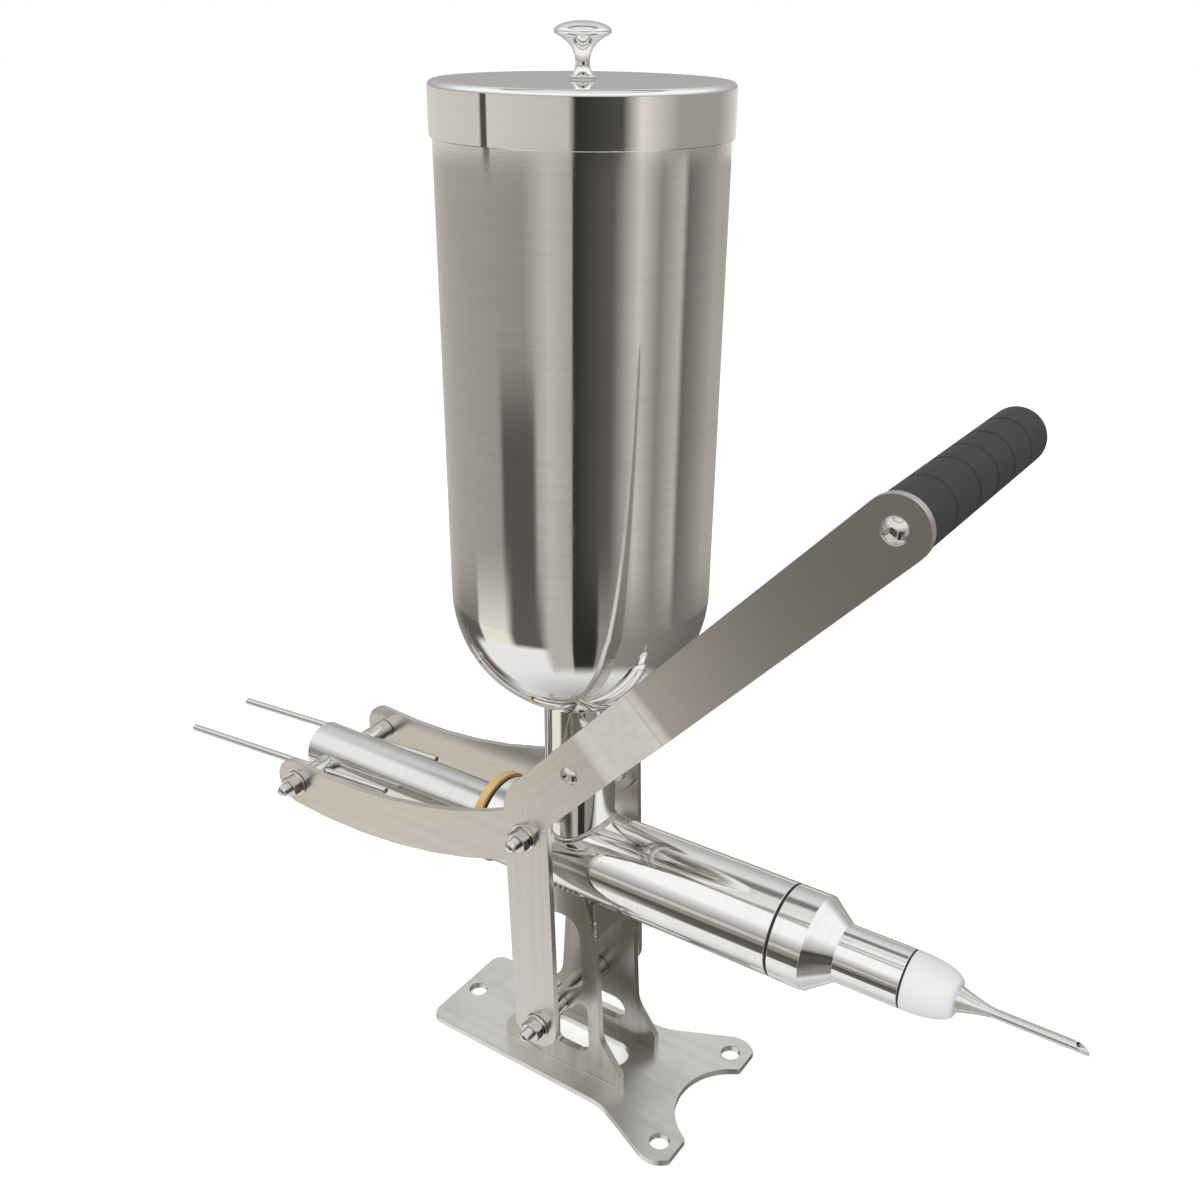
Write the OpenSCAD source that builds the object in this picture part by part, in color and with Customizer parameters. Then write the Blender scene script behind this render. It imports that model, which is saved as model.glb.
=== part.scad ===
// Hand lever donut filler. A bolt-down base carries a horizontal dosing barrel with
// an open hopper welded above it. A forked lever pushes a plunger forward through
// two curved links, and two stop rods on the plunger's cross pin set the stroke.
// Millimetres, +Z up, +X towards the needle, -Y towards the side with the long arm.
// The origin is on the underside of the base plate, below the hopper's axis.

/* [Base] */
// Thickness of the base plate
base_t = 5; // [4:0.5:7]
// Half width of the base plate behind its flare
base_half_w = 39.5; // [38:0.5:44]
// Rear edge of the base plate, behind the hopper axis
base_rear = 102.3; // [100:0.5:110]
// Corner radius at the rear of the base plate
base_corner_r = 9; // [4:0.5:12]
// Where the sides start to flare towards the front ears
flare_x = 46; // [40:1:50]
// Front bolt holes, ahead of the hopper axis
front_hole_x = 95.2; // [92:0.2:100]
// Distance between the two front bolt holes
front_hole_gap = 95.2; // [92:0.2:100]
// Rear bolt hole, behind the hopper axis
rear_hole_x = 90.3; // [84:0.2:91]
// Diameter of the bolt holes
bolt_hole_d = 13; // [9:0.5:14]
// Radius of the ears round the front holes
ear_r = 16; // [14:0.5:18]
// Flat front of each ear, ahead of its hole
ear_front = 13; // [12:0.5:14]
// Depth of the round bite between the ears, ahead of the hopper axis
bite_x = 85; // [82:0.5:88]
// Half width of the window through the base plate
base_window_half_w = 13; // [8:0.5:16]
// Half length of the window through the base plate
base_window_half_l = 36.4; // [30:0.2:38]

/* [Uprights] */
// Thickness of each upright
upright_t = 5; // [4:0.5:6]
// Clear distance between the uprights
upright_gap = 40; // [36:1:44]
// Half length of an upright's foot
foot_half_l = 47.5; // [43:0.5:50]
// Half width of an upright where it meets the barrel
upright_top_half_w = 17.5; // [15:0.5:20]
// Radius of the metal round the lever axle
axle_hub_r = 6.5; // [6:0.5:9]
// Front edge of the stem under the axle hub, behind the axle
foot_stem_x = 4.6; // [3:0.2:6]
// Width of that stem
foot_stem_w = 6.4; // [5:0.2:8]
// Half width of the tall window at its top
window_half_w = 13.4; // [11:0.2:14]
// Height of the slot in the far upright
slot_h = 19; // [12:0.5:22]
// Half length of the slot in the far upright
slot_half_l = 22.2; // [16:0.2:24]
// Thickness of the front web
web_t = 4; // [3:0.5:5]
// Height of the front web below the barrel's lowest line
web_drop = 24; // [18:1:30]

/* [Barrel] */
// Height of the barrel's axis above the underside of the base
barrel_z = 167.8; // [165:0.2:172]
// Outside diameter of the barrel
barrel_d = 58.4; // [57.6:0.2:59.2]
// Wall of the barrel
barrel_wall = 2.6; // [2:0.1:3]
// Rear end of the barrel, behind the hopper axis
barrel_rear = 59.2; // [56:0.2:61]
// Front end of the barrel, ahead of the hopper axis
barrel_front = 148.2; // [140:0.2:156]
// Diameter of the plunger
plunger_d = 36.8; // [35:0.2:38]
// Outside diameter of the guide bush's flange
bush_flange_d = 62; // [60:0.5:64]
// Thickness of the guide bush's flange
bush_flange_t = 6; // [3:0.5:6.5]
// Length of the guide bush inside the barrel
bush_plug_l = 21; // [16:0.5:23]

/* [Hopper] */
// Outside diameter of the hopper
hopper_d = 150; // [146:0.5:154]
// Wall of the hopper
hopper_wall = 1.5; // [1.2:0.1:2]
// Height of the bowl's centre above the barrel's axis
bowl_rise = 185.9; // [180:0.5:192]
// Height of the straight wall above the bowl's centre
hopper_straight_h = 270.6; // [240:0.5:290]
// Outside diameter of the neck
neck_d = 44.4; // [42:0.2:46]
// Wall of the neck
neck_wall = 2.2; // [1.8:0.1:3]

/* [Lid] */
// Height of the lid's band
lid_band_h = 25.9; // [20:0.5:30]
// Thickness of the lid
lid_t = 1.3; // [1:0.1:1.6]
// Radius of the lid's upper edge
lid_edge_r = 3; // [2:0.5:5]
// Height of the lid's knob
knob_h = 26.2; // [22:0.2:30]
// Diameter of the knob's head
knob_d = 28.5; // [24:0.5:32]
// Diameter of the knob's waist
knob_waist_d = 7.3; // [6.4:0.1:9]

/* [Nose and needle] */
// Length of the nose's wide part
nose_wide_l = 20; // [16:0.5:24]
// Length of the nose's cone
nose_cone_l = 15.8; // [12:0.2:20]
// Length of the nose's slim part
nose_slim_l = 39.4; // [34:0.2:44]
// Diameter of the nose's slim part
nose_slim_d = 35.2; // [34:0.2:36]
// Bore of the nose's slim part
nose_bore_d = 28; // [26:0.5:29]
// Length of the white needle holder outside the nose
holder_l = 28.4; // [25:0.2:32]
// Diameter of the needle holder's front face
holder_face_d = 20.4; // [19:0.2:22]
// Diameter of the needle's socket end
needle_socket_d = 16; // [15.6:0.2:17.6]
// Length of the needle's funnel
needle_funnel_l = 22; // [18:0.5:26]
// Outside diameter of the needle's tube
needle_d = 5.7; // [5.6:0.1:7]
// Wall of the needle's tube
needle_wall = 0.6; // [0.4:0.1:0.8]
// Length of the needle's tube from the funnel to its tip
needle_l = 50.4; // [40:0.2:70]
// Length of the slanted cut at the needle's tip
needle_bevel_l = 9; // [6:0.5:12]

/* [Lever] */
// Lever axle, ahead of the hopper axis
axle_x = 2.6; // [1:0.2:4]
// Height of the lever axle
axle_z = 58; // [56:0.2:60]
// Distance from the lever axle to the link bolts
link_bolt_r = 146; // [143:0.2:149]
// Lean of the link bolts' line behind the vertical
link_bolt_lean = 3.18; // [2.4:0.1:4]
// Length of the lever's legs from the axle to the elbow
leg_l = 167.5; // [165:0.5:170]
// Backward lean of the lever's legs
leg_lean = 2; // [1:0.1:3]
// Width of the lever's legs
leg_w = 32.6; // [31:0.2:34]
// Rise of the lever's arm above the horizontal
arm_angle = 47.3; // [46:0.1:49]
// Leg's centre line behind the axle
leg_set_back = 1.2; // [0:0.1:2]
// Length of the lever's arm from the elbow to the grip
arm_l = 316.7; // [280:1:330]
// Width of the lever's arm
arm_w = 34; // [32:0.5:36]
// Thickness of the lever's plates
lever_t = 4.5; // [4:0.1:5]
// Inner face of each lever plate, from the middle plane
lever_y = 48.5; // [47:0.5:52]
// Start of the bend in the arm, from the elbow
bend_start = 75; // [68:1:82]
// Length of the bend in the arm
bend_l = 59; // [50:1:66]
// Outward step of the arm at the bend
bend_step = 17; // [8:0.5:22]
// Distance from the elbow to the cross bar
crossbar_reach = 46.4; // [46.2:0.1:50]
// Diameter of the cross bar
crossbar_d = 11; // [10:0.2:11.2]
// Diameter of the grip
grip_d = 32; // [30:0.5:34]
// Length of the grip
grip_l = 163; // [155:1:175]
// Diameter of the grip's steel core
grip_core_d = 14; // [12:0.5:18]

/* [Links and plunger] */
// Distance between a link's two holes
link_l = 204.8; // [200:0.2:208]
// Drop of a link's curved middle below its line of holes
link_sag = 14.5; // [8:0.5:18]
// Width of the links
link_w = 34.5; // [32:0.5:36]
// Thickness of the links
link_t = 4; // [3:0.1:4.5]
// Diameter of the cross pin
cross_pin_d = 14; // [12:0.5:16]
// Plunger behind the cross pin
plunger_tail_l = 20.1; // [15:0.5:26]
// Diameter of the stop rods
stop_rod_d = 5; // [4:0.2:6]
// Length of the stop rods
stop_rod_l = 196; // [170:1:210]
// Distance of each stop rod from the middle plane
stop_rod_y = 25.7; // [24.5:0.1:27]
// Tilt of the stop rods, front ends up
stop_rod_tilt = 4; // [0:0.5:5]
// Near stop rod's front end ahead of the cross pin
stop_rod_near_reach = 63.4; // [40:0.2:64]
// Far stop rod's front end ahead of the cross pin
stop_rod_far_reach = 65.4; // [40:0.2:66]

/* [Fasteners and fits] */
// Diameter of the axle, link bolts and threaded pin ends
bolt_d = 8; // [6:0.5:8]
// Width of the nuts across their flats
nut_af = 13; // [12:0.5:14]
// Height of the nuts
nut_h = 6.5; // [5:0.1:7]
// Diameter of the washers
washer_d = 18; // [17.4:0.2:20]
// Thickness of the washers
washer_t = 1.6; // [1.2:0.1:2]
// Threaded end standing out of each nut
bolt_end = 6; // [4:0.5:8]
// Length of the chamfered tip of each threaded end
bolt_tip = 1.2; // [0.8:0.1:2]
// Play of the link bolts in the links' front holes
link_play = 4.2; // [4:0.1:4.6]
// Overlap of each link bolt's flange past the link's hole
link_cover_lap = 2.8; // [2:0.1:4]
// Radial clearance of turning joints
running_clear = 0.05; // [0.03:0.01:0.08]
// Radial clearance of the plunger in its bush and of the rods in the pin
slide_clear = 0.08; // [0.06:0.01:0.09]
// Gap left between welded, glued or screwed pieces
seat_clear = 0.1; // [0.05:0.01:0.15]
// Side gap between plates that turn past each other
plate_gap = 0.3; // [0.2:0.05:0.5]

/* [Hidden] */
$fn = 96;

// Colours
brushed = [0.74, 0.71, 0.67];
polished = [0.82, 0.82, 0.81];
plated = [0.86, 0.86, 0.85];
bush_tan = [0.80, 0.62, 0.33];
seal_black = [0.05, 0.05, 0.05];
nylon_white = [0.93, 0.94, 0.96];
grip_black = [0.13, 0.13, 0.13];

// Barrel, neck and hopper
barrel_r = barrel_d / 2;
barrel_ir = barrel_r - barrel_wall;
liner_ir = plunger_d / 2 + 0.2;
neck_r = neck_d / 2;
neck_ir = neck_r - neck_wall;
hopper_r = hopper_d / 2;
hopper_ir = hopper_r - hopper_wall;
bowl_z = barrel_z + bowl_rise;
rim_z = bowl_z + hopper_straight_h;
lid_skirt_clear = 0.3;
lid_r = hopper_r + lid_skirt_clear + lid_t;
lid_top_z = rim_z + seat_clear + lid_t;
knob_screw_d = 5;

// Guide bush and liner
bush_groove = 2;
bush_rear = barrel_rear + bush_groove + bush_flange_t;
bush_seal_r = barrel_r - 0.6;
spigot_l = 12;
seal_t = 1.6;
holder_seal_t = 1;
holder_spigot_l = 14;
needle_seat_l = 6;
nose_x = barrel_front + seal_t;
nose_cone_x = nose_x + nose_wide_l;
nose_slim_x = nose_cone_x + nose_cone_l;
nose_end_x = nose_slim_x + nose_slim_l;
nose_slim_r = nose_slim_d / 2;
nose_bore_r = nose_bore_d / 2;
holder_x = nose_end_x + holder_seal_t;
holder_end_x = holder_x + holder_l;
needle_r = needle_d / 2;
needle_ir = needle_r - needle_wall;
needle_start_x = holder_end_x - needle_seat_l;
needle_tube_x = holder_end_x + needle_funnel_l;
needle_tip_x = needle_tube_x + needle_l;
needle_bore_d = 5;
liner_start_x = neck_ir + 2.5;
liner_end_x = barrel_front - spigot_l - 0.2;

// Lever geometry, in the upright X-Z plane
axle_point = [axle_x, axle_z];
function lean(angle) = [-sin(angle), cos(angle)];
function rise(angle) = [cos(angle), sin(angle)];
elbow = axle_point + leg_l * lean(leg_lean);
link_bolt_point = axle_point + link_bolt_r * lean(link_bolt_lean);
crossbar_point = elbow + crossbar_reach * rise(arm_angle);
grip_point = elbow + arm_l * rise(arm_angle);
elbow_inner_r = 6;
elbow_outer_r = 36;
arm_y = lever_y + bend_step;

// Link geometry
link_outer_y = lever_y - plate_gap;
link_inner_y = link_outer_y - link_t;
cross_pin_x = link_bolt_point[0] - sqrt(pow(link_l, 2) - pow(link_bolt_point[1] - barrel_z, 2));
cross_pin_point = [cross_pin_x, barrel_z];
link_arc_r = pow(link_l, 2) / (8 * link_sag) + link_sag / 2;
// The link bolts' arc isn't quite a straight line, so the links' front holes are wide
link_front_hole_r = bolt_d / 2 + link_play;
link_cover_r = link_front_hole_r + link_cover_lap;

// Plunger and stop rods
plunger_r = plunger_d / 2;
plunger_tip_x = -neck_ir - 3.8;
plunger_rear_x = cross_pin_x - plunger_tail_l;
plunger_seal_w = 3;
plunger_seal_depth = 2;
plunger_seal_set = [4, 9.5];
set_screw_d = 4;

// Uprights
upright_y = upright_gap / 2;
upright_outer_y = upright_y + upright_t;
barrel_bottom_z = barrel_z - barrel_r;
sleeve_d = 17;
spacer_d = 12;

// Fasteners
bolt_r = bolt_d / 2;
washer_r = washer_d / 2;
bolt_head_h = 5.3;
button_d = 12;
button_h = 3.3;
button_screw_d = 6;
grip_button_d = 14;
grip_button_h = 4.4;
grip_screw_d = 8;
grooves = [28.5, 59, 83.5, 107.5, 134.5];
groove_w = 1.6;
groove_depth = 0.9;

// ---- helpers -------------------------------------------------------------

arc_step = 5;
function unit(v) = v / norm(v);
function xy(p) = [p[0], p[1]];
function wrap(a) = a > 180 ? a - 360 : (a < -180 ? a + 360 : a);

// Points of an arc from angle a0 through a sweep
function arc(c, r, a0, sweep) =
  let (n = max(1, ceil(abs(sweep) / arc_step)))
  [for (i = [0:n]) c + r * [cos(a0 + sweep * i / n), sin(a0 + sweep * i / n)]];

// One rounded corner at p between a and b
function corner(a, p, b, r) =
  r <= 0 ? [p] :
  let (
    u = unit(a - p),
    v = unit(b - p),
    half = acos(u * v) / 2,
    reach = r / tan(half),
    c = p + unit(u + v) * r / sin(half),
    t1 = p + u * reach - c,
    t2 = p + v * reach - c,
    a1 = atan2(t1[1], t1[0])
  )
  arc(c, r, a1, wrap(atan2(t2[1], t2[0]) - a1));

// Closed outline whose corners are [x, y, corner radius]
function rounded(p) =
  let (n = len(p))
  [for (i = [0:n - 1])
    for (q = corner(xy(p[(i + n - 1) % n]), xy(p[i]), xy(p[(i + 1) % n]), p[i][2])) q];

function mirrored(p) = [for (i = [len(p) - 1:-1:0]) [-p[i][0], p[i][1], p[i][2]]];

// Extrudes an X-Z outline from y0 towards +Y
module side_plate(y0, t) {
  translate([0, y0 + t, 0])
    rotate([90, 0, 0])
      linear_extrude(t) children();
}

// A cylinder along Y through an X-Z point
module rod_y(p, r, y0, y1) {
  translate([p[0], y0, p[1]])
    rotate([-90, 0, 0])
      cylinder(r = r, h = y1 - y0);
}

// A cylinder along the barrel's axis
module rod_x(r, x0, x1) {
  translate([x0, 0, barrel_z])
    rotate([0, 90, 0])
      cylinder(r = r, h = x1 - x0);
}

// A turned piece on the barrel's axis, from a profile of [radius, x]
module turned_x() {
  translate([0, 0, barrel_z])
    rotate([0, 90, 0])
      rotate_extrude() children();
}

module both_sides() {
  children();
  mirror([0, 1, 0]) children();
}

// A ring along Y, on both sides of the middle plane
module rings(p, r, bore_r, y0, t) {
  both_sides()
    difference() {
      rod_y(p, r, y0, y0 + t);
      rod_y(p, bore_r, y0 - 1, y0 + t + 1);
    }
}

module nuts(p, y0) {
  both_sides()
    difference() {
      translate([p[0], y0, p[1]])
        rotate([-90, 0, 0])
          cylinder(r = nut_af / 2 / cos(30), h = nut_h, $fn = 6);
      rod_y(p, bolt_r + running_clear, y0 - 1, y0 + nut_h + 1);
    }
}

// Domed head of a button screw, its flat side at z = 0
module button_head(d, h) {
  sphere_r = (pow(d / 2, 2) + pow(h, 2)) / (2 * h);
  rotate_extrude()
    intersection() {
      translate([0, h - sphere_r]) circle(sphere_r);
      square([d, h]);
    }
}

// ---- base and uprights ---------------------------------------------------

hole_point = [front_hole_x, front_hole_gap / 2];
flare_start = [flare_x, base_half_w + 2.5];
flare_run = hole_point - flare_start;
flare_angle = atan2(flare_run[1], flare_run[0]) + asin(ear_r / norm(flare_run));
// Centre of the bite: a circle through bite_x on the axis that touches both ears
function bite_centre() =
  let (
    dx = hole_point[0] - bite_x,
    dy = hole_point[1]
  )
  bite_x + (dx * dx + dy * dy - ear_r * ear_r) / (2 * (dx + ear_r));

module base_outline() {
  bite_cx = bite_centre();
  bite_r = bite_cx - bite_x;
  ear_to_bite = atan2(-hole_point[1], bite_cx - hole_point[0]);
  flare_corner = [flare_x, flare_start[1], 40];
  tangent_from = flare_angle + 90;
  front_x = hole_point[0] + ear_front;
  outer_turn = 50;
  outer_end = hole_point + ear_r * rise(outer_turn);
  outer_corner = [front_x, outer_end[1] - (front_x - outer_end[0]) / tan(outer_turn)];
  bite_end = hole_point + ear_r * rise(ear_to_bite);
  inner_corner = [front_x, bite_end[1] + (front_x - bite_end[0]) * tan(ear_to_bite + 90)];
  half = concat(
    corner([-base_rear, 0], [-base_rear, base_half_w], flare_start, base_corner_r),
    corner([-base_rear, base_half_w], flare_start,
      flare_start + 100 * rise(flare_angle), flare_corner[2]),
    arc(hole_point, ear_r, tangent_from, outer_turn - tangent_from),
    corner(outer_end, outer_corner, inner_corner, 4),
    corner(outer_corner, inner_corner, bite_end, 3),
    arc([bite_cx, 0], bite_r, 180 + ear_to_bite, -ear_to_bite)
  );
  polygon(concat(half, [for (i = [len(half) - 2:-1:0]) [half[i][0], -half[i][1]]]));
}

module base_plate() {
  color(brushed)
    difference() {
      linear_extrude(base_t) base_outline();
      for (side = [-1, 1])
        translate([hole_point[0], side * hole_point[1], -1])
          cylinder(d = bolt_hole_d, h = base_t + 2);
      translate([-rear_hole_x, 0, -1])
        cylinder(d = bolt_hole_d, h = base_t + 2);
      base_window();
    }
}

module base_window() {
  straight = base_window_half_l - base_window_half_w;
  translate([axle_x, 0, -1]) {
    translate([-straight, -base_window_half_w, 0])
      cube([2 * straight, 2 * base_window_half_w, base_t + 2]);
    for (end = [-1, 1])
      translate([end * straight, 0, 0])
        cylinder(r = base_window_half_w, h = base_t + 2);
  }
}

// Side outline of an upright about the lever axle's x
upright_side = [
  [foot_half_l, base_t, 0],
  [foot_half_l, base_t + 11, 3],
  [foot_half_l - 16.5, base_t + 34, 22],
  [foot_half_l - 19.5, axle_z + 36, 60],
  [upright_top_half_w, barrel_bottom_z + 11, 0],
  [upright_top_half_w - 2, barrel_z, 0]
];

module upright(side) {
  color(brushed)
    difference() {
      translate([axle_x, 0, 0])
        side_plate(side < 0 ? -upright_outer_y : upright_y, upright_t)
          difference() {
            polygon(rounded(concat(upright_side, mirrored(upright_side))));
            children();
          }
      rod_x(barrel_r + seat_clear, -200, 200);
      rod_y(axle_point, bolt_r + seat_clear, -200, 200);
    }
}

// Tall window above the axle hub, with struts to both flanges
module tall_window() {
  top = barrel_bottom_z - 7.5;
  hub_top = axle_z + axle_hub_r;
  half = [
    [3.5, hub_top + 4, 2],
    [window_half_w + 3.6, axle_z + 22, 3],
    [window_half_w, top, window_half_w - 0.4]
  ];
  polygon(rounded(concat(half, mirrored(half))));
}

// Lower opening ahead of the stem; the axle hub rounds its top
module front_foot_window() {
  hub = [0, axle_z];
  sill = [foot_half_l - 25, base_t + 17];
  top = [foot_half_l - 27, axle_z + 12];
  strut_angle = -44;
  hub_from = hub + axle_hub_r * rise(strut_angle);
  stem_top = acos(-foot_stem_x / axle_hub_r);
  polygon(concat(
    corner([-foot_stem_x, axle_z], [-foot_stem_x, sill[1]], sill, 4),
    corner([-foot_stem_x, sill[1]], sill, top, 9),
    corner(sill, top, hub_from, 4.5),
    arc(hub, axle_hub_r, strut_angle, -stem_top - strut_angle)
  ));
}

// Lower opening behind the stem
module rear_foot_window() {
  stem_x = foot_stem_x + foot_stem_w;
  mirror([1, 0])
    polygon(rounded([
      [stem_x, base_t + 17, 3],
      [foot_half_l - 25, base_t + 17, 6],
      [foot_half_l - 27, axle_z + 12, 4],
      [stem_x, axle_z + 4, 3]
    ]));
}

// The stem stands behind the lever's leg
module upright_near() {
  upright(-1) {
    tall_window();
    front_foot_window();
    rear_foot_window();
  }
}

module upright_far() {
  slot_z = base_t + 12 + slot_h / 2;
  upright(1)
    polygon(concat(
      arc([slot_half_l - slot_h / 2, slot_z], slot_h / 2, -90, 180),
      arc([-slot_half_l + slot_h / 2, slot_z], slot_h / 2, 90, 180)
    ));
}

module front_web() {
  web_x = axle_x + upright_top_half_w + 1;
  half_y = upright_y - seat_clear;
  color(brushed)
    difference() {
      translate([web_x, -half_y, barrel_bottom_z - web_drop])
        cube([web_t, 2 * half_y, web_drop + barrel_r]);
      rod_x(barrel_r + seat_clear, -200, 200);
    }
}

module axle_sleeve() {
  end = upright_y - seat_clear;
  color(brushed)
    difference() {
      rod_y(axle_point, sleeve_d / 2, -end, end);
      rod_y(axle_point, bolt_r + seat_clear, -end - 1, end + 1);
    }
}

module axle_spacers() {
  start = upright_outer_y + seat_clear;
  color(polished)
    rings(axle_point, spacer_d / 2, bolt_r + seat_clear, start, lever_y - plate_gap - start);
}

// Threaded rod with a domed end on each side
module threaded_rod(p, r, half_l) {
  rod_y(p, r, -half_l, half_l);
  both_sides()
    translate([p[0], half_l, p[1]])
      rotate([-90, 0, 0])
        cylinder(r1 = r, r2 = r * 0.6, h = bolt_tip);
}

outer_washer_y = lever_y + lever_t + plate_gap;
outer_nut_y = outer_washer_y + washer_t;
outer_end_y = outer_nut_y + nut_h + bolt_end;

module lever_axle() {
  color(plated) threaded_rod(axle_point, bolt_r, outer_end_y);
}

module axle_washers() {
  color(plated) rings(axle_point, washer_r, bolt_r + seat_clear, outer_washer_y, washer_t);
}

module axle_nuts() {
  color(plated) nuts(axle_point, outer_nut_y);
}

// ---- barrel, hopper and nose ---------------------------------------------

module barrel_tube() {
  color(polished)
    difference() {
      rod_x(barrel_r, -barrel_rear, barrel_front);
      rod_x(barrel_ir, -barrel_rear - 1, barrel_front + 1);
      translate([0, 0, barrel_z])
        cylinder(r = neck_ir, h = barrel_r + 5);
    }
}

module hopper_neck() {
  top_z = bowl_z - sqrt(pow(hopper_ir, 2) - pow(neck_r, 2));
  color(polished)
    difference() {
      translate([0, 0, barrel_z])
        cylinder(r = neck_r, h = top_z - barrel_z);
      translate([0, 0, barrel_z - 1])
        cylinder(r = neck_ir, h = top_z - barrel_z + 2);
      rod_x(barrel_r + seat_clear, -60, 60);
    }
}

module hopper_shell() {
  color(polished)
    difference() {
      union() {
        translate([0, 0, bowl_z]) sphere(r = hopper_r);
        translate([0, 0, bowl_z]) cylinder(r = hopper_r, h = rim_z - bowl_z);
      }
      translate([0, 0, bowl_z]) sphere(r = hopper_ir);
      translate([0, 0, bowl_z]) cylinder(r = hopper_ir, h = rim_z - bowl_z + 1);
      translate([0, 0, barrel_z])
        cylinder(r = neck_r + seat_clear, h = bowl_rise);
    }
}

module guide_bush() {
  color(bush_tan)
    difference() {
      union() {
        rod_x(bush_flange_d / 2, -bush_rear, -bush_rear + bush_flange_t);
        rod_x(barrel_ir - seat_clear, -bush_rear + 1, -barrel_rear + bush_plug_l);
      }
      rod_x(plunger_r + slide_clear, -bush_rear - 1, -barrel_rear + bush_plug_l + 1);
    }
}

module bush_seal_ring() {
  start = -bush_rear + bush_flange_t + seat_clear;
  end = -barrel_rear - seat_clear;
  color(seal_black)
    difference() {
      rod_x(bush_seal_r, start, end);
      rod_x(barrel_ir, start - 1, end + 1);
    }
}

module dosing_liner() {
  color(nylon_white)
    difference() {
      rod_x(barrel_ir - seat_clear, liner_start_x, liner_end_x);
      rod_x(liner_ir, liner_start_x - 1, liner_end_x + 1);
    }
}

module front_seal_ring() {
  color(seal_black)
    difference() {
      rod_x(barrel_r - 0.3, barrel_front, nose_x);
      rod_x(barrel_ir, barrel_front - 1, nose_x + 1);
    }
}

module nose_cone() {
  funnel_x = nose_x + 4;
  color(polished)
    difference() {
      turned_x()
        polygon([
          [0, nose_x - spigot_l],
          [barrel_ir - seat_clear, nose_x - spigot_l],
          [barrel_ir - seat_clear, nose_x],
          [barrel_r, nose_x],
          [barrel_r, nose_cone_x],
          [nose_slim_r, nose_slim_x],
          [nose_slim_r, nose_end_x],
          [0, nose_end_x]
        ]);
      turned_x()
        polygon([
          [0, nose_x - spigot_l - 1],
          [liner_ir, nose_x - spigot_l - 1],
          [liner_ir, funnel_x],
          [nose_bore_r, nose_slim_x],
          [nose_bore_r, nose_end_x + 1],
          [0, nose_end_x + 1]
        ]);
    }
}

module holder_seal_ring() {
  color(seal_black)
    difference() {
      rod_x(nose_slim_r - 0.3, nose_end_x, holder_x);
      rod_x(nose_bore_r - seat_clear, nose_end_x - 1, holder_x + 1);
    }
}

// Ogive from the nose's width down to the holder's front face
function holder_r(u) = holder_face_d / 2
  + (nose_slim_r - holder_face_d / 2) * sqrt(max(0, 1 - pow(u, 2.1)));

module needle_holder() {
  steps = 14;
  rim = 0.92;
  color(nylon_white)
    difference() {
      turned_x()
        polygon(concat(
          [[0, nose_end_x - holder_spigot_l],
           [nose_bore_r - seat_clear * 2, nose_end_x - holder_spigot_l],
           [nose_bore_r - seat_clear * 2, holder_x]],
          [for (i = [0:steps]) let (u = rim * i / steps)
            [holder_r(u), holder_x + u * holder_l]],
          [[holder_face_d / 2, holder_end_x], [0, holder_end_x]]
        ));
      rod_x(needle_bore_d / 2, nose_end_x - holder_spigot_l - 1, holder_end_x + 1);
      rod_x(needle_socket_d / 2 + seat_clear, needle_start_x, holder_end_x + 1);
    }
}

// Trumpet from the socket end down to the tube
function funnel_r(u, r0, r1) = r1 + (r0 - r1) * pow(1 - u, 1.5);

module needle_profile(r_socket, r_tube, overrun) {
  steps = 14;
  polygon(concat(
    [[0, needle_start_x - overrun], [r_socket, needle_start_x - overrun]],
    [for (i = [0:steps]) let (u = i / steps)
      [funnel_r(u, r_socket, r_tube), holder_end_x + u * needle_funnel_l]],
    [[r_tube, needle_tip_x + overrun], [0, needle_tip_x + overrun]]
  ));
}

module filling_needle() {
  color(polished)
    difference() {
      turned_x() needle_profile(needle_socket_d / 2, needle_r, 0);
      turned_x() needle_profile(needle_socket_d / 2 - 1.2, needle_ir, 1);
      translate([0, 20, 0])
        rotate([90, 0, 0])
          linear_extrude(40)
            polygon([
              [needle_tip_x - needle_bevel_l, barrel_z + needle_r + 0.01],
              [needle_tip_x + 1, barrel_z - needle_r],
              [needle_tip_x + 2, barrel_z + needle_r + 2],
              [needle_tip_x - needle_bevel_l, barrel_z + needle_r + 2]
            ]);
    }
}

// ---- lid -----------------------------------------------------------------

module lid_section(r, top_z, edge_r, bottom_z) {
  square_top = top_z - edge_r;
  union() {
    translate([0, square_top]) square([r - edge_r, edge_r]);
    translate([0, bottom_z]) square([r, square_top - bottom_z]);
    intersection() {
      translate([r - edge_r, square_top]) circle(edge_r);
      translate([r - edge_r, square_top]) square(edge_r);
    }
  }
}

module lid_cap() {
  band_bottom = lid_top_z - lid_band_h;
  color(polished)
    difference() {
      rotate_extrude()
        difference() {
          lid_section(lid_r, lid_top_z, lid_edge_r, band_bottom);
          translate([0, band_bottom - 1])
            square([lid_r - lid_t, lid_top_z - lid_t - band_bottom + 1]);
        }
      translate([0, 0, band_bottom])
        cylinder(d = knob_screw_d + 2 * seat_clear, h = lid_band_h + 1);
    }
}

knob_collar_r = 7;

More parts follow.
